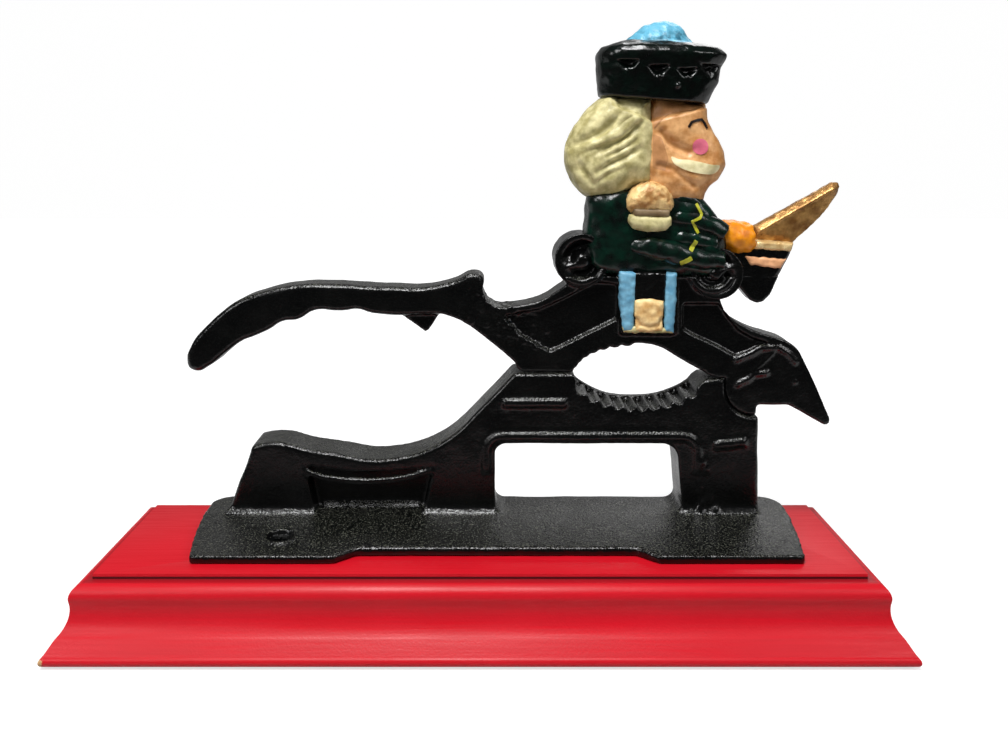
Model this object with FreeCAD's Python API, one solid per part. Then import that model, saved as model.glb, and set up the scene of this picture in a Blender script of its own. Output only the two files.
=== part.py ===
import FreeCAD, Part
import math
import os

# Lever nutcracker press: a black iron press with a toy soldier on its lever, on a moulded wooden plinth.
# Millimetres. X runs along the plinth, Y from front to back and Z up from the table.
# The origin lies on the table under the middle of the plinth.

# Felt pads under the plinth
pad_radius = 8.0
pad_thickness = 1.0
pad_inset = 20.0

# Wooden plinth
plinth_length = 292.0
plinth_depth = 89.0
plinth_height = 26.0
moulding_reach = 13.3
field_step = 1.8
shoulder_width = 2.6
shoulder_drop = 5.2
cove_line = 5.9
cove_drop = 11.4
cove_reach = 3.5
nose_height = 3.2
nose_radius = 1.0

# Iron foot plate
casting_shift = 5.7
foot_length = 227.4
foot_front = 24.0
foot_back = 30.0
foot_edge = 3.0
foot_root = 4.4
foot_corner = 8.5
foot_front_corner = 2.0
foot_end_bow = 5.4
lobe_inner = 50.0
lobe_slant = 7.0
lobe_reach = 6.4

# Upright web of the base casting
web_front = 11.6
rump_foot = 105.3
rump_shoulder = 95.4
rump_height = 31.4
rump_round = 4.2
saddle_x = -43.0
saddle_height = 25.4
neck_x = -23.0
neck_height = 31.0
throat_x = -9.4
throat_height = 42.0
anvil_left = 5.6
anvil_right = 30.0
anvil_height = 59.0
anvil_round = 2.4
boss_left = 81.0
boss_height = 56.8
boss_round = 2.0
post_right = 101.2
post_flare = 0.6
web_bevel = 1.0

# Recessed panels and beads on the front of the web
panel_plane = 19.0
recess_plane = 22.0
panel_left = -74.0
panel_right = -24.0
panel_rim = 4.6
panel_bow = 2.5
panel_slant = 5.0
ledge_drop = 4.0
bead_width = 3.4
bead_height = 1.5
bead_bevel = 0.9
bead_left = 3.4
bead_right = 5.8
bead_rise = 3.0
bead_leg = 8.0
bead_corner = 6.0
anvil_bead_drop = 11.2

# Window in the web
window_left = -0.4
window_right = 72.0
window_sill = 4.4
window_top = 31.6
window_corner = 4.0

# Toothed mouth
mouth_x = 54.8
mouth_length = 50.4
lower_jaw_depth = 12.4
upper_jaw_depth = 11.2
tooth_count = 10
tooth_depth = 2.6
jaw_lip = 3.4
upper_tooth_count = 7
upper_tooth_depth = 1.1
heel_rest_gap = 0.3
heel_end_gap = 0.2

# Hinge
pivot_x = 99.4
pivot_height = 53.5
cheek_radius = 11.1
seat_gap = 0.35
landing_gap = 0.75
pin_diameter = 6.0
pin_running_gap = 0.06
pin_end_sink = 0.2
pin_bevel = 0.5
tongue_thickness = 6.4
tongue_radius = 8.0
tongue_side_gap = 0.3
tongue_end_gap = 0.6

# Lever
lever_thickness = 15.0
lever_bevel = 1.3
heel_left = 9.4
heel_round = 3.6
handle_reach = 218.8
handle_tip_height = 61.0
grip_height = 11.0
grip_crown = 93.0
hump_x = -8.4
hump_height = 97.6
hump_round = 3.9
shank_drop = 12.6
lug_x = -27.4
lug_drop = 7.0
lug_half = 4.2
beak_x = 129.6
beak_height = 39.6
head_height = 27.6
chin_height = 46.4
relief_depth = 2.4

# Saddle
saddle_line = 97.0
saddle_dip = 12.0
scroll_x = 32.4
scroll_rise = 5.6
scroll_radius = 10.2
scroll_eye = 3.6
scroll_groove = 2.0
scroll_half = 9.5
scroll_bevel = 1.2
pommel_x = 82.6
pommel_rise = 1.8
pommel_radius = 9.6

# Soldier
soldier_x = 62.6
jacket_sink = 2.6
jacket_back = 28.6
jacket_front = 25.6
jacket_half = 11.0
neck_line = 127.0
collar_rise = 3.4
face_back = 31.6
face_front = 26.1
face_half = 12.0
hair_back = 35.8
hair_half = 12.4
hat_line = 165.5
hat_width = 44.4
hat_flare = 1.9
hat_depth = 27.0
hat_height = 14.6
brim_reach = 2.7
crown_rise = 4.4
pompon_radius = 13.6
pompon_rise = 9.8
epaulette_x = 58.8
epaulette_height = 127.4
epaulette_radius = 9.1
fringe_height = 7.4
fringe_half = 14.2
fringe_bevel = 1.4
elbow_x = 57.6
elbow_height = 110.0
elbow_radius = 7.6
arm_half = 12.6
cuff_x = 93.9
cuff_height = 110.5
cuff_radius = 6.5
cuff_half = 8.2
blade_root = 5.6
blade_length = 39.0
blade_width = 12.0
blade_angle = 31.0
blade_half = 3.2
scabbard_back = 2.6
scabbard_front = 22.2
scabbard_drop = 24.8
scabbard_half = 4.6
band_half = 5.2
leg_back = 15.3
leg_front = 6.4
leg_drop = 22.8
leg_half = 9.6
leg_corner = 1.0
stripe_width = 5.4
stripe_proud = 0.8
knee_width = 11.6
knee_height = 13.2
knee_half = 10.8
knee_bevel = 1.4

# Screws
screw_diameter = 4.0
screw_tip = 0.6
screw_head_diameter = 8.4
screw_head_height = 2.2
screw_sink = 0.9
screw_length = 18.0
screw_fit = 0.08
screw_x = -79.0
screw_y = -9.0
cross_length = 4.6
cross_width = 1.0
cross_depth = 1.2
bolt_diameter = 5.0
bolt_head_diameter = 9.5
bolt_head_height = 3.2
bolt_head_room = 1.0
bolt_recess = 9.0
bolt_depth = 11.0
bolt_places = (-90.0, 92.0)

# Fineness of the modelled forms
ring_sides = 20
ball_rings = 7
cushion_steps = 3
cushion_turn = 72.0

# Heights and planes that follow from the sizes
plinth_top = pad_thickness + plinth_height
lever_middle = (web_front + foot_back) / 2
lever_half = lever_thickness / 2
heel_height = anvil_height + heel_rest_gap
torso_base = saddle_line - jacket_sink
landing_height = boss_height + landing_gap


def front_point(x, height, y=0.0):
    """Point in the front view: x from the casting's middle, height above the plinth."""
    return FreeCAD.Vector(casting_shift + x, y, plinth_top + height)


def line(start, end):
    return Part.makeLine(front_point(*start), front_point(*end))


def arc(start, middle, end):
    return Part.Arc(front_point(*start), front_point(*middle), front_point(*end)).toShape()


def direction(start, end):
    length = math.hypot(end[0] - start[0], end[1] - start[1])
    return (end[0] - start[0]) / length, (end[1] - start[1]) / length


def bent_line(start, tangent, end):
    """Arc that leaves its start along the tangent and meets the end, and the tangent it ends with."""
    chord = (end[0] - start[0], end[1] - start[1])
    away = direction(start, end)
    dot = tangent[0] * away[0] + tangent[1] * away[1]
    turn = math.atan2(tangent[0] * away[1] - tangent[1] * away[0], dot)
    leaving = (2 * dot * away[0] - tangent[0], 2 * dot * away[1] - tangent[1])
    if abs(turn) < 1e-4:
        return line(start, end), leaving
    bulge = math.tan(turn / 2) / 2
    middle = ((start[0] + end[0]) / 2 + chord[1] * bulge, (start[1] + end[1]) / 2 - chord[0] * bulge)
    return arc(start, middle, end), leaving


def circle_tangent(before, here, after):
    """Direction, at the middle point, of the circle through three points."""
    a = (here[0] - before[0], here[1] - before[1])
    b = (after[0] - here[0], after[1] - here[1])
    share_a = 1 / (a[0] ** 2 + a[1] ** 2)
    share_b = 1 / (b[0] ** 2 + b[1] ** 2)
    return direction((0, 0), (a[0] * share_a + b[0] * share_b, a[1] * share_a + b[1] * share_b))


def smooth(points):
    """Smooth line through the points: pairs of arcs that share their tangents."""
    inner = [circle_tangent(*three) for three in zip(points, points[1:], points[2:])]
    first = bent_line(points[1], (-inner[0][0], -inner[0][1]), points[0])[1]
    last = bent_line(points[-2], inner[-1], points[-1])[1]
    tangents = [(-first[0], -first[1])] + inner + [last]
    edges = []
    for start, end, t0, t1 in zip(points, points[1:], tangents, tangents[1:]):
        v = (end[0] - start[0], end[1] - start[1])
        along = v[0] * (t0[0] + t1[0]) + v[1] * (t0[1] + t1[1])
        spread = 2 * (1 - t0[0] * t1[0] - t0[1] * t1[1])
        square = v[0] ** 2 + v[1] ** 2
        root = math.sqrt(along ** 2 + spread * square)
        reach = square / (2 * along) if spread < 1e-9 else (root - along) / spread
        joint = [(a + b + reach * (c - d)) / 2 for a, b, c, d in zip(start, end, t0, t1)]
        edge, tangent = bent_line(start, t0, joint)
        edges += [edge, bent_line(joint, tangent, end)[0]]
    return edges


def boxed(shares, left, right, low, high):
    """Points of an outline given as shares of a box."""
    return [(left + u * (right - left), low + v * (high - low)) for u, v in shares]


def polygon(points):
    corners = [front_point(x, h) for x, h in points]
    return Part.makePolygon(corners + corners[:1])


def slab(wire, y_from, y_to):
    """Plate between two planes, from a closed wire drawn in the plane y = 0."""
    plate = Part.Face(wire).extrude(FreeCAD.Vector(0, y_to - y_from, 0))
    plate.translate(FreeCAD.Vector(0, y_from, 0))
    return plate


def middle_slab(wire, half):
    """Plate of the lever, the same distance to each side of its middle plane."""
    return slab(wire, lever_middle - half, lever_middle + half)


def face_edges(solid, *planes):
    """Edges that lie whole in one of the planes y = constant."""
    found = []
    for edge in solid.Edges:
        box = edge.BoundBox
        for y in planes:
            if abs(box.YMin - y) < 1e-3 and abs(box.YMax - y) < 1e-3:
                found.append(edge)
    return found


def cylinder_y(radius, y_from, y_to, x, height):
    start = front_point(x, height, y_from)
    return Part.makeCylinder(radius, y_to - y_from, start, FreeCAD.Vector(0, 1, 0))


def net(rings):
    """Solid through rings of points, with flat facets between them and a flat cap at each end."""
    faces = [Part.Face(Part.makePolygon(ring + ring[:1])) for ring in (rings[0], rings[-1])]
    for low, high in zip(rings, rings[1:]):
        for a, b, c, d in zip(low, low[1:] + low[:1], high[1:] + high[:1], high):
            normal = (b - a).cross(c - a).normalize()
            flat = abs(normal.dot(d - a)) < 1e-7
            corners = [[a, b, c, d]] if flat else [[a, b, c], [a, c, d]]
            faces += [Part.Face(Part.makePolygon(facet + facet[:1])) for facet in corners]
    shell = Part.makeShell(faces)
    shell.sewShape()
    body = Part.makeSolid(shell)
    return body if body.Volume > 0 else body.reversed()


def cushion(points, half, rim):
    """Rounded form, full size on the lever's middle plane and smaller towards its two faces."""
    curve = Part.BSplineCurve()
    curve.interpolate([front_point(x, h) for x, h in points], PeriodicFlag=True)
    outline = [curve.value(curve.LastParameter * k / ring_sides) for k in range(ring_sides)]
    middle = sum(outline, FreeCAD.Vector()) / ring_sides
    turn = math.radians(cushion_turn)
    rings = []
    for step in range(-cushion_steps, cushion_steps + 1):
        angle = turn * step / cushion_steps
        scale = rim + (1 - rim) * (math.cos(angle) - math.cos(turn)) / (1 - math.cos(turn))
        centre = middle + FreeCAD.Vector(0, lever_middle + half * math.sin(angle) / math.sin(turn), 0)
        rings.append([centre + (point - middle) * scale for point in outline])
    return net(rings)


def ring(x, height, angle, across, half):
    """Ellipse of points round an axis in the middle plane that rises at the given angle."""
    centre = front_point(x, height, lever_middle)
    tilt = math.radians(angle)
    side = FreeCAD.Vector(-math.sin(tilt), 0, math.cos(tilt)) * across
    depth = FreeCAD.Vector(0, half, 0)
    turns = [2 * math.pi * k / ring_sides for k in range(ring_sides)]
    return [centre + side * math.cos(turn) + depth * math.sin(turn) for turn in turns]


def ball(x, height, angle, along, across, half):
    """Egg-shaped form, from its half sizes along its axis, across it in the front view and in depth."""
    rings = []
    for k in range(ball_rings + 1):
        turn = math.pi * (k + 0.5) / (ball_rings + 1)
        away = -along * math.cos(turn) / math.cos(math.pi / 2 / (ball_rings + 1))
        tilt = math.radians(angle)
        place = (x + away * math.cos(tilt), height + away * math.sin(tilt))
        rings.append(ring(*place, angle, across * math.sin(turn), half * math.sin(turn)))
    return net(rings)


def fuse_all(shapes):
    return shapes[0].fuse(shapes[1:]).removeSplitter()


def plinth_section(half_width):
    """Closed section of the plinth: raised field, step, rounded shoulder, cove and small nose."""
    edge = half_width - moulding_reach
    bottom = pad_thickness
    step = plinth_top - field_step
    ledge = step - 0.02 * shoulder_drop
    cove_top = step - shoulder_drop
    cove_foot = cove_top - cove_drop
    nose_x = half_width - nose_radius
    round_mid = (edge + 0.28 * shoulder_width + 0.72 * cove_line, step - 0.3 * shoulder_drop)
    cove_mid = (edge + cove_line + 0.22 * cove_reach, cove_top - 0.66 * cove_drop)
    nose_mid = (half_width - 0.05 * nose_radius, bottom + 0.4 * nose_height)
    right = [
        ((edge, plinth_top), (edge, step)),
        ((edge, step), (edge + shoulder_width, ledge)),
        ((edge + shoulder_width, ledge), round_mid, (edge + cove_line, cove_top)),
        ((edge + cove_line, cove_top), cove_mid, (edge + cove_line + cove_reach, cove_foot)),
        ((edge + cove_line + cove_reach, cove_foot), (nose_x, bottom + nose_height)),
        ((nose_x, bottom + nose_height), nose_mid, (nose_x, bottom)),
    ]
    left = [tuple((-x, z) for x, z in reversed(piece)) for piece in reversed(right)]
    underside = [((nose_x, bottom), (-nose_x, bottom))]
    field = [((-edge, plinth_top), (edge, plinth_top))]
    return right + underside + left + field


def section_wire(pieces, across):
    """Wire of a section whose first coordinate runs along the given direction."""
    edges = []
    for piece in pieces:
        points = [across * u + FreeCAD.Vector(0, 0, z) for u, z in piece]
        edges.append(Part.makeLine(*points) if len(points) == 2 else Part.Arc(*points).toShape())
    return Part.Wire(edges)


def make_plinth():
    """Block with the same moulding on four sides, mitred at the corners."""
    along = section_wire(plinth_section(plinth_depth / 2), FreeCAD.Vector(0, 1, 0))
    across = section_wire(plinth_section(plinth_length / 2), FreeCAD.Vector(1, 0, 0))
    long_bar = Part.Face(along).extrude(FreeCAD.Vector(plinth_length, 0, 0))
    long_bar.translate(FreeCAD.Vector(-plinth_length / 2, 0, 0))
    wide_bar = Part.Face(across).extrude(FreeCAD.Vector(0, plinth_depth, 0))
    wide_bar.translate(FreeCAD.Vector(0, -plinth_depth / 2, 0))
    holes = [plate_screw(screw_fit)]
    for place in bolt_places:
        well_radius = bolt_head_diameter / 2 + bolt_head_room
        well = Part.makeCylinder(well_radius, bolt_recess, front_point(place, -plinth_height, lever_middle))
        holes += [under_screw(place, screw_fit), well]
    return long_bar.common(wide_bar).cut(holes)


def foot_level(y):
    """Thickness of the foot plate at a place between its front edge and the web."""
    return foot_edge + (foot_root - foot_edge) * (y + foot_front) / (web_front + foot_front)


def plate_screw(clearance=0.0):
    """Countersunk wood screw through the foot plate, head up; with a clearance it is the hole for it."""
    shank = screw_diameter / 2 + clearance
    head = screw_head_diameter / 2 + clearance
    top = front_point(screw_x, foot_level(screw_y) - screw_sink, screw_y)
    down = FreeCAD.Vector(0, 0, -1)
    bar_length = screw_length - screw_head_height - screw_diameter + clearance
    neck = top + down * screw_head_height
    screw = fuse_all([
        Part.makeCone(head, shank, screw_head_height, top, down),
        Part.makeCylinder(shank, bar_length, neck, down),
        Part.makeCone(shank, screw_tip, screw_diameter, neck + down * bar_length, down),
    ])
    if clearance > 0:
        return fuse_all([screw, Part.makeCone(head, head + 2 * screw_sink, 2 * screw_sink, top)])
    arms = []
    for a, b in ((cross_length, cross_width), (cross_width, cross_length)):
        corner = top + FreeCAD.Vector(-a / 2, -b / 2, -cross_depth)
        arms.append(Part.makeBox(a, b, cross_depth, corner))
    return screw.cut(arms)


def under_screw(place, clearance=0.0):
    """Machine screw from below, through the plinth into the foot of the web."""
    seat = front_point(place, bolt_recess - plinth_height, lever_middle)
    bar_length = plinth_height - bolt_recess + bolt_depth + clearance
    bar = Part.makeCylinder(bolt_diameter / 2 + clearance, bar_length, seat)
    head = Part.makeCylinder(bolt_head_diameter / 2, bolt_head_height, seat, FreeCAD.Vector(0, 0, -1))
    return fuse_all([bar, head])


def foot_outline():
    """Plan of the foot plate: two lobes in front, bowed ends and rounded rear corners."""
    half = foot_length / 2
    front_half = half - foot_end_bow
    corner = foot_front_corner
    notch = -foot_front + lobe_reach
    side_middle = (half - 0.3 * foot_end_bow, 0)
    front_mid = (front_half - 0.29 * corner, -foot_front + 0.29 * corner)
    back_mid = (half - 0.29 * foot_corner, foot_back - 0.29 * foot_corner)
    plan = [
        [(lobe_inner, notch), (lobe_inner + lobe_slant, -foot_front)],
        [(lobe_inner + lobe_slant, -foot_front), (front_half - corner, -foot_front)],
        [(front_half - corner, -foot_front), front_mid, (front_half, -foot_front + corner)],
        [(front_half, -foot_front + corner), side_middle, (half, foot_back - foot_corner)],
        [(half, foot_back - foot_corner), back_mid, (half - foot_corner, foot_back)],
    ]
    mirrored = [[(-x, y) for x, y in reversed(points)] for points in reversed(plan)]
    back = [[(half - foot_corner, foot_back), (-half + foot_corner, foot_back)]]
    middle = [[(-lobe_inner, notch), (lobe_inner, notch)]]
    edges = []
    for points in plan + back + mirrored + middle:
        corners = [FreeCAD.Vector(casting_shift + x, y, plinth_top) for x, y in points]
        edges.append(Part.makeLine(*corners) if len(points) == 2 else Part.Arc(*corners).toShape())
    return Part.Wire(edges)


def make_foot_plate():
    """Flat plate that thickens towards the web."""
    front = [(-foot_front, 0), (-foot_front, foot_edge)]
    back = [(web_front, foot_root), (foot_back, foot_root), (foot_back, 0)]
    left = casting_shift - foot_length / 2
    profile = [FreeCAD.Vector(left, y, plinth_top + z) for y, z in front + back]
    wedge = Part.Face(Part.makePolygon(profile + profile[:1])).extrude(FreeCAD.Vector(foot_length, 0, 0))
    block = Part.Face(foot_outline()).extrude(FreeCAD.Vector(0, 0, 2 * foot_root))
    return wedge.common(block)


def jaw_point(angle, depth, tooth, side):
    """Point on the half ellipse of a jaw; side is -1 for the lower jaw and 1 for the upper one."""
    half = mouth_length / 2 + tooth
    level = anvil_height if side < 0 else heel_height
    return mouth_x - half * math.cos(angle), level + side * (depth + tooth) * math.sin(angle)


def lower_jaw_point(share, tooth):
    """Point on the lower jaw, at a share of the toothed length from left to right."""
    return jaw_point(math.acos(0.95 - 1.83 * share), lower_jaw_depth, tooth, -1)


def lower_teeth():
    """Points of the row of pointed teeth in the lower jaw, from left to right."""
    points = []
    for index in range(2 * tooth_count + 1):
        tooth = tooth_depth if index % 2 else 0.0
        points.append(lower_jaw_point(index / (2 * tooth_count), tooth))
    return points


def make_jaw_lip():
    """Smooth lip behind the lower teeth, level with their crests."""
    rim = [lower_jaw_point(k / 4, 0.0) for k in range(5)]
    foot = [lower_jaw_point(k / 4, 2 * tooth_depth) for k in range(5)]
    ends = [line(rim[-1], foot[-1]), line(foot[0], rim[0])]
    outline = Part.Wire(smooth(rim) + ends[:1] + smooth(foot[::-1]) + ends[1:])
    return slab(outline, foot_back - jaw_lip, foot_back)


def mouth_cut():
    """Room that the lower jaw leaves open: the row of teeth and the round side of the boss."""
    teeth = lower_teeth()
    boss_side = (boss_left - 1.1 * boss_round, boss_height - 0.75 * boss_round)
    boss_top = (boss_left, boss_height)
    over = anvil_height + boss_round
    edges = [line(a, b) for a, b in zip(teeth, teeth[1:])]
    edges += [arc(teeth[-1], boss_side, boss_top), line(boss_top, (boss_left, over))]
    edges += [line((boss_left, over), (teeth[0][0], over)), line((teeth[0][0], over), teeth[0])]
    return slab(Part.Wire(edges), 0, 2 * foot_back)


def web_outline():
    """Front view of the upright web, from the rump over the saddle and the anvil to the hinge post."""
    jaw_ends = (lower_jaw_point(0, 0.0), lower_jaw_point(1, 0.0))
    seat_radius = cheek_radius + seat_gap
    seat_left = pivot_x - seat_radius
    post_angle = math.acos((post_right - pivot_x) / seat_radius)
    post_top = (post_right, pivot_height - seat_radius * math.sin(post_angle))
    seat_mid = (pivot_x - seat_radius * math.cos(0.8), pivot_height - seat_radius * math.sin(0.8))
    rump = (-rump_shoulder, rump_height - rump_round)
    rump_mid = (-rump_shoulder + 0.28 * rump_round, rump_height - 0.24 * rump_round)
    rump_top = (-rump_shoulder + rump_round, rump_height)
    rump_side = (-rump_shoulder - 0.68 * (rump_foot - rump_shoulder), 0.3 * rump_height)
    back_mid = ((rump_top[0] + saddle_x) / 2, (rump_height + saddle_height) / 2)
    anvil_start = (anvil_left, anvil_height - 0.58 * anvil_round)
    anvil_mid = (anvil_left + 0.37 * anvil_round, anvil_height - 0.15 * anvil_round)
    boss_corner = (boss_left - boss_round, boss_height)
    throat = (throat_x, throat_height)
    back = [rump_top, back_mid, (saddle_x, saddle_height), (neck_x, neck_height), throat]
    edges = smooth([(-rump_foot, 0), rump_side, rump, rump_mid] + back)
    edges += [
        line(throat, anvil_start),
        arc(anvil_start, anvil_mid, (anvil_left + anvil_round, anvil_height)),
        line((anvil_left + anvil_round, anvil_height), (anvil_right, anvil_height)),
        line((anvil_right, anvil_height), jaw_ends[0]),
        line(*jaw_ends),
        line(jaw_ends[1], boss_corner),
        line(boss_corner, (seat_left, boss_height)),
        line((seat_left, boss_height), (seat_left, pivot_height)),
        arc((seat_left, pivot_height), seat_mid, post_top),
        line(post_top, (post_right + post_flare, 0)),
        line((post_right + post_flare, 0), (-rump_foot, 0)),
    ]
    return Part.Wire(edges)


def window_outline():
    """Rounded opening under the jaw, with a wider curve at its upper right."""
    left = window_left
    right = window_right
    low = window_sill
    top = window_top
    r = window_corner
    k = 0.293 * r
    return Part.Wire([
        line((left + r, low), (right - r, low)),
        arc((right - r, low), (right - k, low + k), (right, low + r)),
        line((right, low + r), (right - 0.4 * r, top - 1.6 * r)),
        arc((right - 0.4 * r, top - 1.6 * r), (right - 0.8 * r, top - 0.5 * r), (right - 1.9 * r, top)),
        line((right - 1.9 * r, top), (left + r, top)),
        arc((left + r, top), (left + k, top - k), (left, top - r)),
        line((left, top - r), (left, low + r)),
        arc((left, low + r), (left + k, low + k), (left + r, low)),
    ])


def bead(path):
    """Bevelled bead on the web's front face, along a path of straight pieces with mitred corners."""
    ways = [direction(start, end) for start, end in zip(path, path[1:])]
    left = []
    right = []
    for point, before, after in zip(path, ways[:1] + ways, ways + ways[-1:]):
        normal = (-before[1] - after[1], before[0] + after[0])
        reach = bead_width / (normal[0] ** 2 + normal[1] ** 2)
        left.append((point[0] + normal[0] * reach, point[1] + normal[1] * reach))
        right.append((point[0] - normal[0] * reach, point[1] - normal[1] * reach))
    bar = slab(polygon(left + right[::-1]), web_front - bead_height, web_front + bead_height)
    return bar.makeChamfer(bead_bevel, face_edges(bar, web_front - bead_height))


def make_beads():
    """Beads that follow the window, the foot of the anvil and the hinge post."""
    left = window_left - bead_left
    right = window_right + bead_right
    top = window_top + bead_rise
    low = top - bead_corner
    turns = [math.radians(22.5 * k) for k in range(5)]
    corner = [(bead_corner * (1 - math.cos(turn)), low + bead_corner * math.sin(turn)) for turn in turns]
    path = [(left, low - bead_leg)] + [(left + u, h) for u, h in corner]
    path += [(right - u, h) for u, h in corner[::-1]] + [(right, low - bead_leg)]
    level = anvil_height - anvil_bead_drop
    on_anvil = [(anvil_left - 0.9 * bead_width, level), (anvil_right - 0.85 * bead_width, level)]
    post_start = (right + 1.7 * bead_width, top - bead_width)
    post_end = (post_right - 1.3 * bead_width, top - 0.6 * bead_width)
    return [bead(path), bead(on_anvil), bead([post_start, post_end])]


def web_bevel_edges(web):
    """Outer edges on the front face, all but those of the mouth and the foot."""
    jaw_left = casting_shift + anvil_right
    jaw_right = casting_shift + boss_left - 1.5 * boss_round
    found = []
    for edge in face_edges(web, web_front):
        box = edge.BoundBox
        beside_jaw = box.XMax < jaw_left + web_bevel / 2 or box.XMin > jaw_right
        if beside_jaw and box.ZMax > plinth_top + web_bevel:
            found.append(edge)
    return found


def make_base_casting():
    """Foot plate, web, lower jaw, window, beads, hinge seat and tongue in one casting."""
    web = slab(web_outline(), web_front, foot_back)
    web = web.makeChamfer(web_bevel, web_bevel_edges(web))
    web = web.cut([slab(window_outline(), 0, 2 * foot_back), mouth_cut()])

    rim_end = (panel_right, saddle_height - panel_rim + panel_bow)
    rim = [(panel_left, rim_end[1]), (saddle_x, saddle_height - panel_rim), rim_end]
    ledge = [(x, h - ledge_drop) for x, h in rim]
    panel_foot = [(panel_right - panel_slant, 0), (panel_left + panel_slant, 0)]
    sides = [line(rim_end, panel_foot[0]), line(*panel_foot), line(panel_foot[1], rim[0])]
    panel = slab(Part.Wire(smooth(rim) + sides), 0, panel_plane)
    ends = [line(rim_end, ledge[-1]), line(ledge[0], rim[0])]
    groove = slab(Part.Wire(smooth(rim) + ends[:1] + smooth(ledge) + ends[1:]), 0, recess_plane)
    web = web.cut([panel, groove])

    casting = fuse_all([make_foot_plate(), web, make_jaw_lip()] + make_tongue() + make_beads())
    pin_hole = cylinder_y(pin_diameter / 2 + pin_running_gap, 0, 2 * foot_back, pivot_x, pivot_height)
    holes = [pin_hole, plate_screw(screw_fit)]
    return casting.cut(holes + [under_screw(place, screw_fit) for place in bolt_places])


def tongue_planes(gap=0.0):
    half = tongue_thickness / 2 + gap
    return lever_middle - half, lever_middle + half


def make_tongue():
    """Round tongue of the hinge and the neck that joins it to the post."""
    r = tongue_radius
    foot = pivot_height - 2 * r
    neck = [
        (pivot_x - r, pivot_height),
        (pivot_x - 0.75 * r, foot),
        (post_right - 0.1 * r, foot),
        (post_right - 0.05 * r, pivot_height - 1.12 * r),
        (pivot_x + 0.5 * r, pivot_height - 0.62 * r),
    ]
    eye = cylinder_y(r, *tongue_planes(), pivot_x, pivot_height)
    return [eye, slab(polygon(neck), *tongue_planes())]


def handle_point(share, height):
    """Point of the handle: share 0 at its free end and 1 at the hump."""
    tip = pivot_x - handle_reach
    return tip + share * (hump_x - tip), height


def grip_level(share):
    """Height between the free end, at 0, and the crown of the grip, at 1."""
    return handle_tip_height + share * (grip_crown - handle_tip_height)


def hump_start():
    return hump_x + hump_round, hump_height - 0.87 * hump_round


def handle_edges():
    """Outline of the handle from the hump round the free end to the heel, running anticlockwise."""
    hump_side = (hump_x + 0.56 * hump_round, hump_height - 0.1 * hump_round)
    hump = [hump_start(), hump_side, (hump_x, hump_height)]
    top = [handle_point(share, grip_level(level)) for share, level in
           ((0.93, 1.05), (0.84, 0.98), (0.70, 0.98), (0.53, 1.01), (0.41, 1.01),
            (0.275, 0.93), (0.18, 0.81), (0.087, 0.56), (0.018, 0.28))]
    tip = [handle_point(share, grip_level(level)) for share, level in
           ((0.0, 0.08), (0.006, 0.0), (0.032, -0.045), (0.08, 0.02))]
    under = [handle_point(share, grip_level(level) - grip_height) for share, level in
             ((0.135, 0.52), (0.186, 0.655), (0.24, 0.73), (0.29, 0.81), (0.332, 0.9), (0.39, 0.93),
              (0.443, 1.03), (0.54, 1.03), (0.60, 1.05), (0.642, 1.005), (0.69, 0.985), (0.74, 0.98))]
    heel_top = (heel_left - 0.5 * heel_round, heel_height + heel_round)
    heel_mid = (heel_left - 0.17 * heel_round, heel_height + 0.25 * heel_round)
    heel_low = (heel_left + 0.39 * heel_round, heel_height)
    low = under[-1][1]
    shank = boxed([(-0.66, 1.04), (-0.37, 0.89), (0.506, 0.0)], hump_x, heel_left, low - shank_drop, low)
    shank.append(heel_top)
    edges = smooth(hump + top + tip + under) + [line(under[-1], shank[0])] + smooth(shank)
    return edges + [arc(heel_top, heel_mid, heel_low), line(heel_low, heel_corner())]


def heel_corner():
    return anvil_right - heel_end_gap, heel_height


def landing():
    """Point where the lever's underside meets its round cheek, over the boss of the base."""
    rise = landing_height - pivot_height
    return pivot_x - math.sqrt(cheek_radius ** 2 - rise ** 2), landing_height


def upper_jaw_edges():
    """Underside of the lever over the mouth: low rounded teeth, then a slope down to the hinge."""
    start = 0.16
    end = 1.5
    step = (end - start) / upper_tooth_count
    edges = [line(heel_corner(), jaw_point(start, upper_jaw_depth, 0.0, 1))]
    for index in range(upper_tooth_count):
        low = start + index * step
        valleys = [jaw_point(angle, upper_jaw_depth, 0.0, 1) for angle in (low, low + step)]
        crest = jaw_point(low + step / 2, upper_jaw_depth, -upper_tooth_depth, 1)
        edges.append(arc(valleys[0], crest, valleys[1]))
    last = jaw_point(end, upper_jaw_depth, 0.0, 1)
    stop = landing()
    shares = [(0, 1), (0.277, 0.892), (0.516, 0.507), (0.732, 0.182), (0.837, 0.008), (1, 0)]
    return edges + smooth(boxed(shares, last[0], stop[0], stop[1], last[1]))


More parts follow.
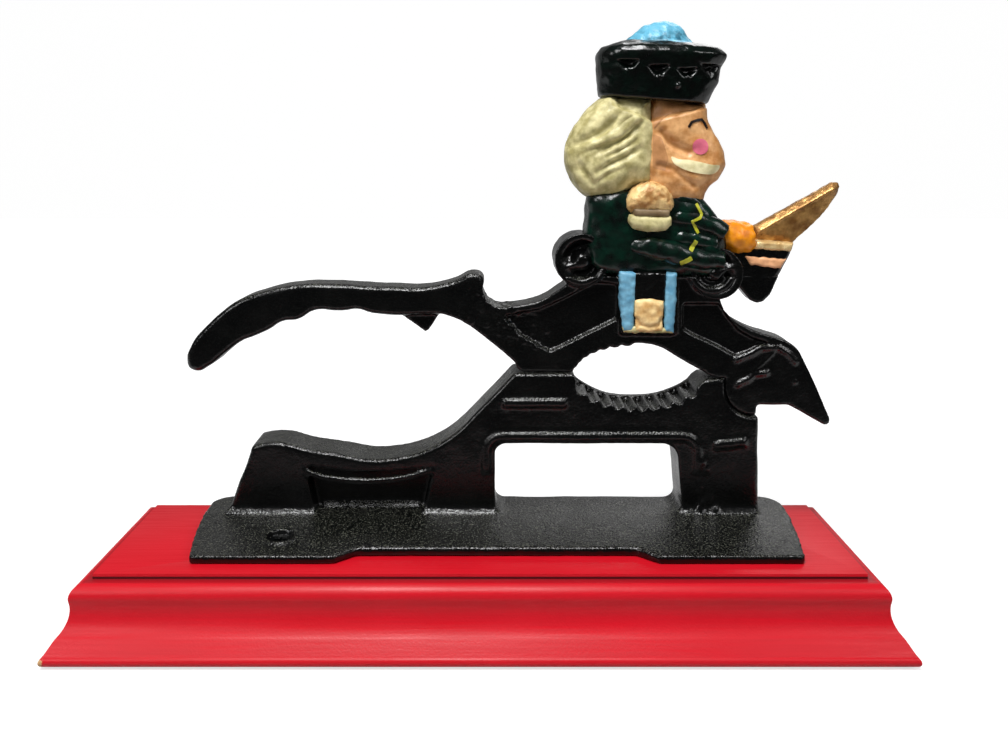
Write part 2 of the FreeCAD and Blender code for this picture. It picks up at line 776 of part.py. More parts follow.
def head_edges():
    """Outline of the lever's head: round cheek in the seat, chin, beak, back and saddle."""
    length = beak_x - pivot_x
    under_pivot = 0.04 * length
    cheek_end = (pivot_x + under_pivot, pivot_height - math.sqrt(cheek_radius ** 2 - under_pivot ** 2))
    cheek_mid = (pivot_x - cheek_radius * math.cos(0.75), pivot_height - cheek_radius * math.sin(0.75))
    chin = (pivot_x + 1.25 * under_pivot, chin_height)
    jowl = (beak_x - 0.556 * length, chin_height)
    beak = boxed([(0.881, -0.018), (0.967, -0.025), (0.983, 0.065), (0.795, 0.529), (0.583, 1.0)],
                 pivot_x, beak_x, beak_height, beak_height + head_height)
    shares = [(1, 0), (0.878, 0.128), (0.709, 0.201), (0.494, 0.275), (0.366, 0.349),
              (0.198, 0.477), (0.105, 0.658)]
    back = boxed(shares, pommel_x, beak[-1][0], beak[-1][1], saddle_line)
    seat = boxed([(0.784, 0.5), (0.622, 0.183), (0.407, 0.008), (0.186, 0.017), (0.098, 0.3)],
                 hump_x, scroll_x, saddle_line - saddle_dip, saddle_line)
    edges = [
        arc(landing(), cheek_mid, cheek_end),
        line(cheek_end, chin),
        line(chin, jowl),
        line(jowl, beak[0]),
        arc(*beak[:3]),
        line(beak[2], beak[3]),
        line(beak[3], beak[4]),
    ]
    edges += smooth(back)
    edges += [
        line(back[-1], (pommel_x, saddle_line)),
        line((pommel_x, saddle_line), (scroll_x, saddle_line)),
        line((scroll_x, saddle_line), seat[0]),
    ]
    return edges + smooth(seat + [hump_start()])


def make_lever_bar():
    """Handle, heel, upper jaw and head, with the sunk panels and the thin lug under the grip."""
    bar = middle_slab(Part.Wire(handle_edges() + upper_jaw_edges() + head_edges()), lever_half)
    bar = bar.makeChamfer(lever_bevel, handle_bevel_edges(bar))
    shares = [(-0.128, 0.586), (0.135, 0.65), (0.338, 0.782), (0.545, 0.931), (0.70, 0.91), (0.70, 0.549),
              (0.216, 0.21), (0.0075, 0.37)]
    rear_panel = polygon(boxed(shares, heel_left, soldier_x, heel_height, saddle_line))
    shares = [(0, 1), (0, 0.52), (0.13, 0.385), (0.225, 0.315), (0.387, 0.18), (0.568, 0), (0.71, 0.08),
              (0.82, 0.18), (1, 0.21), (0.887, 0.27), (0.737, 0.363), (0.61, 0.49), (0.5, 0.71), (0.39, 1)]
    left = soldier_x + leg_front + 0.5 * stripe_width
    right = pivot_x + 0.75 * cheek_radius
    low = pivot_height + 1.08 * cheek_radius
    front_panel = polygon(boxed(shares, left, right, low, saddle_line - cheek_radius))
    floor = lever_half - relief_depth
    for panel in (rear_panel, front_panel):
        near = slab(panel, 0, lever_middle - floor)
        bar = bar.cut([near, slab(panel, lever_middle + floor, 2 * foot_back)])
    lug_top = grip_level(0.984) - grip_height
    shares = [(-1.37, 1), (0, 0), (0.17, 0.09), (0.77, 1), (0.29, 1.43), (-1.14, 1.43)]
    lug = polygon(boxed(shares, lug_x, lug_x + lug_drop, lug_top - lug_drop, lug_top))
    return [bar, middle_slab(lug, lug_half)]


def handle_bevel_edges(bar):
    """Edges of both faces round the grip, left of the lug."""
    both = face_edges(bar, lever_middle - lever_half, lever_middle + lever_half)
    return [edge for edge in both if edge.BoundBox.XMax < casting_shift + lug_x]


def fork_slot():
    """Room in the lever for the tongue over the lever's whole swing."""
    planes = tongue_planes(tongue_side_gap)
    reach = tongue_radius + tongue_end_gap
    shares = [(-1, 0), (-1, -2.33), (1.75, -2.33), (1.5, -0.81), (0.88, 0)]
    below = polygon([(pivot_x + u * reach, pivot_height + v * reach) for u, v in shares])
    return [cylinder_y(reach, *planes, pivot_x, pivot_height), slab(below, *planes)]


def make_scroll(x, height, radius):
    """Rolled end of the saddle with a sunk ring round its eye."""
    rim = scroll_half - scroll_bevel
    floor = scroll_half - scroll_groove
    ring_edge = 0.7 * radius
    near = [(scroll_half, scroll_eye), (floor, scroll_eye), (floor, ring_edge), (scroll_half, ring_edge)]
    near += [(scroll_half, radius - scroll_bevel), (rim, radius)]
    turns = [2 * math.pi * k / ring_sides for k in range(ring_sides)]
    around = [FreeCAD.Vector(math.cos(turn), 0, math.sin(turn)) for turn in turns]
    rings = []
    for depth, size in [(-y, r) for y, r in near] + near[::-1]:
        centre = front_point(x, height, lever_middle + depth)
        rings.append([centre + way * size for way in around])
    return net(rings)


def make_hat():
    """Tall felt hat: leaning band, flared brim, sloping crown and a round pompon."""
    stations = ((-0.1, -0.4, 0.0), (0.0, 0.0, 0.0), (0.75, 1.5, 0.6), (0.97, 1.9, 1.6), (1.08, 1.7, 1.3),
                (1.3, 1.1, -1.4))
    rings = []
    for rise, lean, grow in stations:
        half = grow * brim_reach
        place = (soldier_x + (lean - 1) * hat_flare, hat_line + rise * hat_height)
        rings.append(ring(*place, 90.0, hat_width / 2 + half, hat_depth / 2 + half))
    crown = hat_line + hat_height + crown_rise
    pompon = ball(soldier_x, crown, 90.0, pompon_rise, pompon_radius, 0.8 * pompon_radius)
    return [net(rings), pompon]


def make_head():
    """Face with nose and chin in profile, and the locks of hair behind it."""
    face = [(0.25, 1), (0.61, 1), (0.855, 0.92), (0.877, 0.74), (0.947, 0.6), (1, 0.446), (0.988, 0.325),
            (0.916, 0.2), (0.825, 0.06), (0.67, 0), (0.42, 0.08), (0.13, 0.17), (0, 0.36), (0.02, 0.7),
            (0.09, 0.93)]
    hair = [(0.33, 0.93), (0.139, 0.704), (0.027, 0.547), (0, 0.354), (0.038, 0.174), (0.139, 0.045),
            (0.264, 0), (0.435, 0.019), (0.65, 0.09), (0.9, 0.19), (1, 0.437), (0.99, 0.72),
            (0.9, 0.953), (0.63, 1)]
    low = neck_line - collar_rise
    high = hat_line + 0.2 * collar_rise
    face = boxed(face, soldier_x - face_back, soldier_x + face_front, low, high)
    hair_front = soldier_x + 0.04 * hair_back
    hair = boxed(hair, soldier_x - hair_back, hair_front, low + 0.8 * collar_rise, high + collar_rise)
    return [cushion(face, face_half, 0.66), cushion(hair, hair_half, 0.6)]


def make_torso():
    """Jacket, shoulder knobs with their fringe, and the sleeves that run to the cuff."""
    jacket = [(0.03, 0.9), (0.011, 0.678), (0, 0.433), (0.059, 0.117), (0.269, 0.011), (0.638, 0),
              (0.908, 0.028), (0.996, 0.183), (1, 0.433), (0.948, 0.694), (0.838, 0.906), (0.601, 1),
              (0.306, 1), (0.122, 0.978)]
    back = soldier_x - jacket_back
    front = soldier_x + jacket_front
    body = cushion(boxed(jacket, back, front, torso_base, neck_line + collar_rise), jacket_half, 0.72)
    knob = ball(epaulette_x, epaulette_height, 90.0, epaulette_radius, epaulette_radius, fringe_half)
    half_width = 0.9 * epaulette_radius
    fringe_top = epaulette_height - 0.66 * epaulette_radius
    corner = front_point(epaulette_x - half_width, fringe_top - fringe_height, lever_middle - fringe_half)
    fringe = Part.makeBox(2 * half_width, 2 * fringe_half, fringe_height, corner)
    faces = (lever_middle - fringe_half, lever_middle + fringe_half)
    fringe = fringe.makeChamfer(fringe_bevel, face_edges(fringe, *faces))
    lean = math.degrees(math.atan2(cuff_height - elbow_height, cuff_x - elbow_x))
    stations = [(-0.16, 0.5), (0.0, 0.9), (0.12, 1.0), (0.45, 1.0), (1.0, 0.78)]
    rings = []
    for share, size in stations:
        x = elbow_x + share * (cuff_x - elbow_x)
        height = elbow_height + share * (cuff_height - elbow_height)
        half = arm_half + share * (cuff_half - arm_half)
        rings.append(ring(x, height, lean, size * elbow_radius, size * half))
    cuff = ball(cuff_x, cuff_height, lean, cuff_radius, cuff_radius, cuff_half)
    return [body, knob, fringe, net(rings), cuff]


def make_sword():
    """Short gilt blade with a ridge on each face, two bands and the pointed scabbard below the fist."""
    root = (cuff_x + blade_root, cuff_height + 0.2 * blade_root)
    angle = math.radians(blade_angle)

    def blade_ring(shares, y):
        points = []
        for u, v in shares:
            along = u * blade_length
            across = v * blade_width
            x = root[0] + along * math.cos(angle) + across * math.sin(angle)
            height = root[1] + along * math.sin(angle) - across * math.cos(angle)
            points.append(front_point(x, height, y))
        return points

    outline = [(0, -0.25), (0.97, -0.117), (1, 0.033), (0.872, 0.55), (0.333, 0.833), (0.103, 0.767)]
    ridge = [(0.015, -0.117), (0.923, -0.075), (0.933, -0.042), (0.82, 0.1), (0.333, 0.133), (0.051, 0.133)]
    blade = net([blade_ring(ridge, lever_middle - blade_half), blade_ring(outline, lever_middle),
                 blade_ring(ridge, lever_middle + blade_half)])
    box = (cuff_x - scabbard_back, cuff_x + scabbard_front, cuff_height - scabbard_drop, cuff_height)
    case = [(0.105, 0.839), (0.331, 1), (1, 1), (0.911, 0.855), (0.601, 0.137), (0.484, 0.016), (0.379, 0),
            (0.29, 0.04), (0.089, 0.266), (0, 0.444)]
    forms = [blade, middle_slab(polygon(boxed(case, *box)), scabbard_half)]
    for left, right, low, high in ((0.355, 0.952, 0.734, 0.863), (0.234, 0.782, 0.46, 0.597)):
        shares = [(left, low + 0.02), (right - 0.02, low), (right + 0.02, high), (left, high + 0.02)]
        forms.append(middle_slab(polygon(boxed(shares, *box)), band_half))
    return forms


def make_legs():
    """Trouser leg on each side of the lever, with two raised stripes and a bevelled knee piece."""
    left = soldier_x - leg_back
    right = soldier_x + leg_front
    low = saddle_line - leg_drop
    high = saddle_line
    cut = leg_corner
    foot = [(left, low + cut), (left + cut, low), (right - cut, low), (right, low + cut)]
    leg = foot + [(right, high), (left, high)]
    forms = [middle_slab(polygon(leg), leg_half)]
    for start in (left, right - stripe_width + 0.5 * stripe_proud):
        end = start + stripe_width
        foot = low + stripe_proud
        strip = polygon([(start, foot), (end, foot), (end, high), (start, high)])
        forms.append(middle_slab(strip, leg_half + stripe_proud))
    near = lever_middle - knee_half
    far = lever_middle + knee_half
    corner = front_point(left + stripe_width - 0.5 * stripe_proud, low + 0.5 * stripe_proud, near)
    knee = Part.makeBox(knee_width, 2 * knee_half, knee_height, corner)
    forms.append(knee.makeChamfer(knee_bevel, face_edges(knee, near, far)))
    return forms


def make_lever_casting():
    """One casting: lever bar, saddle scrolls and the soldier that rides on it."""
    cantle = make_scroll(scroll_x, saddle_line + scroll_rise, scroll_radius)
    pommel = make_scroll(pommel_x, saddle_line + pommel_rise, pommel_radius)
    soldier = make_legs() + make_torso() + make_head() + make_hat() + make_sword()
    body = fuse_all(make_lever_bar() + [cantle, pommel] + soldier)
    pin_hole = cylinder_y(pin_diameter / 2, 0, 2 * foot_back, pivot_x, pivot_height)
    return body.cut(fork_slot() + [pin_hole])


def make_hinge_pin():
    """Plain pin, held in the two cheeks of the lever and running in the tongue of the base."""
    near = lever_middle - lever_half + pin_end_sink
    far = lever_middle + lever_half - pin_end_sink
    pin = cylinder_y(pin_diameter / 2, near, far, pivot_x, pivot_height)
    return pin.makeChamfer(pin_bevel, face_edges(pin, near, far))


def make_pads():
    """Four round felt pads on the underside of the plinth."""
    pads = []
    for side_x in (-1, 1):
        for side_y in (-1, 1):
            x = side_x * (plinth_length / 2 - pad_inset)
            y = side_y * (plinth_depth / 2 - pad_inset)
            pads.append(Part.makeCylinder(pad_radius, pad_thickness, FreeCAD.Vector(x, y, 0)))
    return Part.makeCompound(pads)


parts = {
    "wood_plinth": make_plinth(),
    "base_casting": make_base_casting(),
    "lever_casting": make_lever_casting(),
    "hinge_pin": make_hinge_pin(),
    "plate_screw": plate_screw(),
    "under_screws": Part.makeCompound([under_screw(place) for place in bolt_places]),
    "felt_pads": make_pads(),
}

os.makedirs("parts", exist_ok=True)
for name, shape in parts.items():
    shape.exportStep("parts/" + name + ".step")
    print(name, shape.isValid(), round(shape.Volume, 1), len(shape.Solids), len(shape.Faces))
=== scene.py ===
# %% [markdown]
# # A painted iron nutcracker on a red plinth
# The press is a gloss black casting with a toy soldier on its lever, screwed to a moulded board.
# Each cell makes one piece or one finish. Sizes are in millimetres, as a maker would measure them,
# and turn to metres where a mesh is made.

# %% Load the frame
import bpy
import bmesh
import math
import numpy as np
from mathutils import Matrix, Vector, noise
from mathutils.bvhtree import BVHTree


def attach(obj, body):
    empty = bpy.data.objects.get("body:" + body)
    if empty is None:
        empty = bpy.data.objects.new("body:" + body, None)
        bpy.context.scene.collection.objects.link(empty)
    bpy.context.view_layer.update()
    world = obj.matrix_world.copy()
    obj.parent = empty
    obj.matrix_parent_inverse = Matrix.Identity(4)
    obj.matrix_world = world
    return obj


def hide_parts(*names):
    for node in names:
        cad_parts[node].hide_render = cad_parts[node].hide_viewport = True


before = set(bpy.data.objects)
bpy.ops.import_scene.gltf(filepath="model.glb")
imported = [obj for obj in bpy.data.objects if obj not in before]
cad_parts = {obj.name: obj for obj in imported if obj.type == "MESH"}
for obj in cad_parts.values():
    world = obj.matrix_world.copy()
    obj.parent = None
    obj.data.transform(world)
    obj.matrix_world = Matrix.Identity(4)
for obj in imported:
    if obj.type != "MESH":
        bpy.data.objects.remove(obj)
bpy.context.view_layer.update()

# %% [markdown]
# ## Where things are
# The casting's middle lies 5.7 mm to the right of the plinth's, and heights are counted from the
# top of the plinth. The web, the lever and the soldier share one middle plane, 20.8 mm behind the
# plinth's. What is on both faces of it has a front and a back side.

# %% Places
MM = 0.001
CASTING_X = 5.7
PLINTH_TOP = 27.0
MIDDLE = 20.8
SIDES = ((-1, "front"), (1, "back"))


def at(x, height, depth=0.0):
    """Point in metres, from a place on the casting and a distance behind its middle plane."""
    return Vector(((x + CASTING_X) * MM, (MIDDLE + depth) * MM, (height + PLINTH_TOP) * MM))


print("soldier's belt is at", at(62.6, 97.0))

# %% [markdown]
# ## Camera
# The photograph was taken level with the soldier's face, from about 36 cm. This camera stands a
# little nearer and looks a little down, and its lens is shifted down as well, which keeps upright
# lines nearly upright.

# %% Camera
LOOK_DOWN = 4.0
eye = bpy.data.cameras.new("eye")
eye.sensor_width = 36.0
eye.lens = 33.35
eye.shift_x = 0.0143
eye.shift_y = -0.1605
eye.clip_start = 0.01
camera = bpy.data.objects.new("camera", eye)
camera.location = (0.0032, -0.3414, 0.1714)
camera.rotation_euler = (math.radians(90 - LOOK_DOWN), 0, 0)
bpy.context.scene.collection.objects.link(camera)
bpy.context.scene.camera = camera
bpy.context.scene.view_settings.view_transform = "Standard"
print("camera at", tuple(camera.location))

# %% [markdown]
# ## Colours
# Paints are picked as sRGB hex values, as a colour card gives them. Blender mixes light in
# linear values, so one function turns each hex value to linear.


# %% Colour helper
def paint(code):
    """Linear colour, with its opaque fourth value, of a hex value."""
    channels = [int(code[k:k + 2], 16) / 255 for k in (1, 3, 5)]
    return [c / 12.92 if c <= 0.04045 else ((c + 0.055) / 1.055) ** 2.4 for c in channels] + [1.0]


print("red enamel", [round(c, 3) for c in paint("#BE0818")])

# %% [markdown]
# ## Helpers for finishes
# A finish is a small tree of nodes, and most of these helpers add one node to it and give back
# what comes out of it.


# %% Node helpers
def add(tree, kind, values={}, links={}, **settings):
    """Adds a node with its settings, the values of its sockets and the links into them."""
    made = tree.nodes.new(kind)
    for name, value in settings.items():
        setattr(made, name, value)
    for socket, value in values.items():
        made.inputs[socket].default_value = value
    for socket, source in links.items():
        tree.links.new(source, made.inputs[socket])
    return made


def start_finish(name, **values):
    """A material with one shader; the names of its plain values are the shader's socket names."""
    material = bpy.data.materials.new(name)
    material.use_nodes = True
    tree = material.node_tree
    tree.nodes.clear()
    sockets = {name.replace("_", " "): value for name, value in values.items()}
    shader = add(tree, "ShaderNodeBsdfPrincipled", sockets)
    add(tree, "ShaderNodeOutputMaterial", links={"Surface": shader.outputs[0]})
    place = add(tree, "ShaderNodeTexCoord").outputs["Object"]
    return material, tree, shader, place


def blend(tree, share, low, high):
    """Colour between two, mixed by a share; each is a hex value or a socket."""
    made = add(tree, "ShaderNodeMix", links={"Factor": share}, data_type="RGBA")
    for socket, colour in ((6, low), (7, high)):
        if isinstance(colour, str):
            made.inputs[socket].default_value = paint(colour)
        else:
            tree.links.new(colour, made.inputs[socket])
    return made.outputs[2]


def specks(tree, place, size, detail=2.0):
    """Soft random pattern with spots of a size in millimetres."""
    values = {"Scale": 1 / (size * MM), "Detail": detail}
    return add(tree, "ShaderNodeTexNoise", values, {"Vector": place}).outputs[0]


def remap(tree, value, low, high, to_low=0.0, to_high=1.0):
    """A value that goes evenly from one number to another between two limits, and no further."""
    limits = {"From Min": low, "From Max": high, "To Min": to_low, "To Max": to_high}
    return add(tree, "ShaderNodeMapRange", limits, {"Value": value}).outputs[0]


def reckon(tree, how, first, second=None):
    """One step of arithmetic; each of its values is a number or a socket."""
    made = add(tree, "ShaderNodeMath", operation=how)
    for k, value in enumerate((first, second)):
        if isinstance(value, float):
            made.inputs[k].default_value = value
        elif value is not None:
            tree.links.new(value, made.inputs[k])
    return made.outputs[0]


def grain_bump(tree, height, strength, depth, under=None):
    """Bump from a pattern, its depth in millimetres, laid over another bump if there is one."""
    links = {"Height": height} if under is None else {"Height": height, "Normal": under}
    return add(tree, "ShaderNodeBump", {"Strength": strength, "Distance": depth * MM}, links).outputs[0]


def connect(tree, shader, **sources):
    """Links sockets to the shader's own, which are named with _ for a space."""
    for socket, source in sources.items():
        tree.links.new(source, shader.inputs[socket.replace("_", " ")])


# %% [markdown]
# ## Gloss black enamel over a rough casting
# Sand leaves the iron grainy and thick enamel runs over it, so the surface shines but breaks the
# light into sparks, like orange peel. The lumps are about 2 mm and the fine grain is 0.8 mm. Lighter
# specks 0.6 mm wide lie on it, partly dust and partly painted sparkle.


# %% Black enamel
def black_enamel_coat(name, light, grit, dust_and_sparkle):
    """Enamel over sand-cast iron, with specks of dust and painted sparkle; a higher grit lets more of
    the sand show.
    """
    material, tree, shader, place = start_finish(name, IOR=1.5)
    lumps = specks(tree, place, 2.2)
    sand = specks(tree, place, 0.8)
    patches = specks(tree, place, 11.0)
    soft = grain_bump(tree, lumps, 0.6, 0.16 * grit)
    fine = grain_bump(tree, sand, 0.8, 0.22 * grit, soft)
    # Light specks: dust, and painted sparkle where their colour is light.
    dust_and_sparkle_share = remap(tree, specks(tree, place, 0.6, 1.0), 0.54, 0.66)
    tone = blend(tree, dust_and_sparkle_share, blend(tree, patches, "#020203", light), dust_and_sparkle)
    shine = remap(tree, patches, 0.3, 0.7, 0.13, 0.27)
    connect(tree, shader, Base_Color=tone, Roughness=shine, Normal=fine)
    print(name, "made with", len(tree.nodes), "nodes")
    return material


black_enamel = black_enamel_coat("black_enamel_on_cast_iron", "#070807", 0.8, "#0C0D0C")
# The sandy coat's light specks are painted sparkle over dust, standing in for glints.
glinting_foot_enamel = black_enamel_coat("sandy_black_enamel_with_painted_sparkle", "#080907", 2.2, "#45463E")

# %% [markdown]
# ## Red satin enamel on softwood
# Sprayed coats hide the colour of the wood but not all of its grain, so faint lines run along the
# board. The corner below the raised field gets a dark line of painted shade. At the lower left
# front corner the paint is knocked off and the softwood shows.

# %% Red enamel
CHIPPED_CORNER = (-0.1462, -0.0446, 0.0022)
FIELD_FOOT = 0.0256
red_enamel, tree, shader, place = start_finish(
    "red_satin_enamel_on_softwood", IOR=1.5, Specular_IOR_Level=0.3)
stretch = add(tree, "ShaderNodeMapping", {"Scale": (0.03, 1.0, 1.0)}, {"Vector": place}).outputs[0]
grain = specks(tree, stretch, 0.9, 3.0)
pores = specks(tree, place, 0.7)
cloud = specks(tree, place, 40.0)
coat = blend(tree, cloud, "#BE0818", "#CE1224")
lined = blend(tree, remap(tree, grain, 0.3, 0.7, 0.0, 0.35), coat, "#B00A1A")
corner = add(tree, "ShaderNodeVectorMath", {1: CHIPPED_CORNER}, {0: place}, operation="DISTANCE")
ragged = reckon(tree, "MULTIPLY", pores, 0.0025)
reach = reckon(tree, "ADD", corner.outputs["Value"], ragged)
chip = remap(tree, reach, 0.0034, 0.0030)
bare = blend(tree, grain, "#D8B080", "#A87848")
# Painted shade: a dark line along the corner at the foot of the raised field.
level = add(tree, "ShaderNodeSeparateXYZ", links={0: place}).outputs["Z"]
from_foot = reckon(tree, "SUBTRACT", level, FIELD_FOOT)
beside = reckon(tree, "ABSOLUTE", from_foot)
shadow_line = remap(tree, beside, 0.0006, 0.0003)
shaded = blend(tree, shadow_line, lined, "#4A0810")
lines = grain_bump(tree, grain, 0.3, 0.1)
surface = grain_bump(tree, pores, 0.4, 0.1, lines)
tint = blend(tree, chip, shaded, bare)
shine = remap(tree, grain, 0.3, 0.7, 0.34, 0.48)
connect(tree, shader, Base_Color=tint, Roughness=shine, Normal=surface)
print(red_enamel.name, len(tree.nodes), "nodes")


# %% [markdown]
# ## The soldier's paints
# They are brushed on by hand over the same rough casting. Each is an enamel with soft random
# changes of tone, as where the coat is thin, with painted shade in the darker tone where the
# surface dips into a hollow, and with its own gloss.

# %% Brushed enamels
def brushed(name, light, dark, gloss, metal=0.0, grit=0.9, depth=0.22):
    """Hand-brushed enamel: two tones of one paint over a casting's grain, the darker also painted as
    shade in hollows.
    """
    material, tree, shader, place = start_finish(name, IOR=1.5, Metallic=metal)
    strokes = specks(tree, place, 4.0, 4.0)
    grains = specks(tree, place, grit)
    shade_in_hollows = add(tree, "ShaderNodeNewGeometry").outputs["Pointiness"]
    worn = blend(tree, remap(tree, strokes, 0.35, 0.65), light, dark)
    # Painted shade: hollows get the darker tone.
    tone = blend(tree, remap(tree, shade_in_hollows, 0.44, 0.5), dark, worn)
    shine = remap(tree, strokes, 0.3, 0.7, gloss - 0.06, gloss + 0.08)
    connect(tree, shader, Base_Color=tone, Roughness=shine, Normal=grain_bump(tree, grains, 0.5, depth))
    print(name, "made with", len(tree.nodes), "nodes")
    return material


cream_enamel = brushed("cream_enamel", "#DCD29C", "#A0965F", 0.45)
pale_cream = brushed("pale_cream_enamel", "#F8EEC2", "#D4C894", 0.42)
flesh_enamel = brushed("flesh_enamel", "#E2AE76", "#B4783C", 0.42)
shaded_flesh = brushed("shaded_flesh_enamel", "#C8905E", "#A4703E", 0.45)
rose_enamel = brushed("rose_enamel", "#E07288", "#CC6078", 0.42)
brow_enamel = brushed("brow_black_enamel", "#1C1210", "#0E0908", 0.35)
green_enamel = brushed("bottle_green_enamel", "#06241A", "#020A07", 0.22, 0.0, 0.9, 0.12)
hat_enamel = brushed("green_black_enamel", "#06100C", "#020403", 0.2, 0.0, 0.9, 0.12)
orange_enamel = brushed("orange_enamel", "#EE960A", "#CC7004", 0.38)
gold_paint = brushed("gold_bronze_paint", "#C8995A", "#84592A", 0.34, 0.55, 0.6, 0.25)
pale_gold = brushed("pale_gold_paint", "#F2D8A0", "#C89C5C", 0.3, 0.3, 0.6, 0.2)
knob_gold = brushed("knob_gold_paint", "#F4D292", "#A8763E", 0.4, 0.1, 0.7, 0.35)
# Umber: painted shade under the epaulette knobs.
knob_shade_paint = brushed("knob_shade_paint", "#8A7658", "#6A5436", 0.5)
peach_enamel = brushed("peach_enamel", "#EDB284", "#D49A6C", 0.42)
tan_enamel = brushed("tan_enamel", "#FADA9C", "#C89A5C", 0.42)
braid_enamel = brushed("yellow_green_enamel", "#BCBC30", "#9A9A20", 0.35)
stripe_enamel = brushed("sky_blue_enamel", "#7AB2CC", "#5690AE", 0.4)

# %% [markdown]
# ## Pompon blue
# The wool ball is painted thick sky blue, with painted shade in darker dabs low on its side and a
# pale edge where the brush went round its foot. Height decides where the shade dabs and edge come.

# %% Pompon paint
SHADE_DAB_HEIGHTS = (191, 187)
EDGE_HEIGHTS = (186.1, 185.5)
pompon_enamel, tree, shader, place = start_finish("pompon_blue_enamel", IOR=1.5)
level = add(tree, "ShaderNodeSeparateXYZ", links={0: place}).outputs["Z"]
# Painted shade: darker dabs on the lower side of the ball.
shade_dabs = remap(tree, specks(tree, place, 3.2, 3.0), 0.46, 0.6)
low_shade_band = remap(tree, level, *[at(0, height).z for height in SHADE_DAB_HEIGHTS])
shade = reckon(tree, "MULTIPLY", shade_dabs, low_shade_band)
shade_dabbed = blend(tree, shade, "#62ACC8", "#2C687E")
edge = remap(tree, level, *[at(0, height).z for height in EDGE_HEIGHTS])
rough = grain_bump(tree, specks(tree, place, 0.9), 0.6, 0.3)
connect(tree, shader, Base_Color=blend(tree, edge, shade_dabbed, "#A8DCF4"), Normal=rough)
shader.inputs["Roughness"].default_value = 0.38
print(pompon_enamel.name, len(tree.nodes), "nodes")

# %% [markdown]
# ## Small parts
# Zinc gives the hidden screws a cool grey shine, and the pads are pressed wool.

# %% Zinc and felt
zinc_plate = brushed("zinc_plated_steel", "#B4B6B0", "#9C9E9A", 0.35, 1.0, 0.4, 0.03)
wool_felt = brushed("pressed_wool_felt", "#2E2E30", "#1E1E20", 0.9, 0.0, 0.5, 0.3)


# %% [markdown]
# ## How a cast piece is made
# A pattern maker cuts a board to the outline, then rounds it over. Here a closed outline gets its
# thickness and an even skin of small cells, and each cell is then moved to give the rounding.

# %% Outline helpers
def round_line(points, parts=6):
    """Closed smooth line through the points, given with some points between each pair."""
    p = np.array(points, float)
    before, after, beyond = np.roll(p, 1, 0), np.roll(p, -1, 0), np.roll(p, -2, 0)
    t = np.arange(parts)[:, None, None] / parts
    bend = 2 * before - 5 * p + 4 * after - beyond
    turn = 3 * p - before - 3 * after + beyond
    curve = 0.5 * (2 * p + (after - before) * t + bend * t ** 2 + turn * t ** 3)
    return curve.transpose(1, 0, 2).reshape(-1, 2)


def new_piece(name, form):
    """Object with the mesh of a form."""
    bmesh.ops.recalc_face_normals(form, faces=form.faces)
    mesh = bpy.data.meshes.new(name)
    form.to_mesh(mesh)
    form.free()
    piece = bpy.data.objects.new(name, mesh)
    bpy.context.scene.collection.objects.link(piece)
    return piece


def board(name, outline, near, far):
    """Piece with an outline, between two distances from the middle plane."""
    form = bmesh.new()
    front = form.faces.new([form.verts.new(at(x, h, near)) for x, h in outline])
    moved = bmesh.ops.extrude_face_region(form, geom=[front])["geom"]
    corners = [v for v in moved if isinstance(v, bmesh.types.BMVert)]
    bmesh.ops.translate(form, verts=corners, vec=Vector((0, (far - near) * MM, 0)))
    return new_piece(name, form)


def tube(name, stations, sides=20):
    """Tube through stations of place, height, distance from the middle plane and radius."""
    form = bmesh.new()
    points = [at(x, h, y) for x, h, y, r in stations]
    rings = []
    for k, station in enumerate(stations):
        way = (points[min(k + 1, len(points) - 1)] - points[max(k - 1, 0)]).normalized()
        side = way.cross(Vector((0, 1, 0))).normalized() * station[3] * MM
        up = side.cross(way)
        turns = [2 * math.pi * t / sides for t in range(sides)]
        rings.append([form.verts.new(points[k] + side * math.cos(t) + up * math.sin(t)) for t in turns])
    return lofted(name, form, rings)


def hoops(name, stations, square=1.0, sides=48):
    """Form through flat ovals: place, height, half width, half depth and lean.

    A square of one gives true ovals, and a lower one is boxier.
    """
    form = bmesh.new()
    turns = [2 * math.pi * t / sides for t in range(sides)]
    ways = [(math.cos(turn), math.sin(turn)) for turn in turns]
    oval = [[math.copysign(abs(c) ** square, c) for c in way] for way in ways]
    rings = [[form.verts.new(at(x + wide * a, h - lean * a, deep * b)) for a, b in oval]
             for x, h, wide, deep, lean in stations]
    return lofted(name, form, rings)


def lofted(name, form, rings):
    """Piece with walls between the rings and a cap on each end."""
    for low, high in zip(rings, rings[1:]):
        for t in range(len(low)):
            form.faces.new([low[t], low[t - 1], high[t - 1], high[t]])
    form.faces.new(rings[0])
    form.faces.new(rings[-1][::-1])
    return new_piece(name, form)


# %% [markdown]
# ## Skin and relief
# Pieces get an even skin, and relief is pressed into it: soft lumps everywhere, and lines or dots
# where the photograph shows them. How far a place moves depends on how near it is to the line.

# %% Skin helpers
def settle(piece):
    """Applies the piece's modifiers to its mesh."""
    ready = piece.evaluated_get(bpy.context.evaluated_depsgraph_get())
    piece.data = bpy.data.meshes.new_from_object(ready)
    piece.modifiers.clear()


def skin_over(piece, cell, rounds=0):
    """Even skin of small cells over the piece, smoothed a number of rounds."""
    grid = piece.modifiers.new("skin", "REMESH")
    grid.mode = "VOXEL"
    grid.voxel_size = cell * MM
    if rounds:
        piece.modifiers.new("soft", "SMOOTH").iterations = rounds
    settle(piece)
    return piece


def soften(piece, rounds):
    """Smooths the piece's skin a number of rounds."""
    piece.modifiers.new("soft", "SMOOTH").iterations = rounds
    settle(piece)


def add_to(piece, *others):
    """Joins other pieces to a piece, to be skinned over together."""
    form = bmesh.new()
    form.from_mesh(piece.data)
    for other in others:
        form.from_mesh(other.data)
        bpy.data.objects.remove(other)
    form.to_mesh(piece.data)
    form.free()


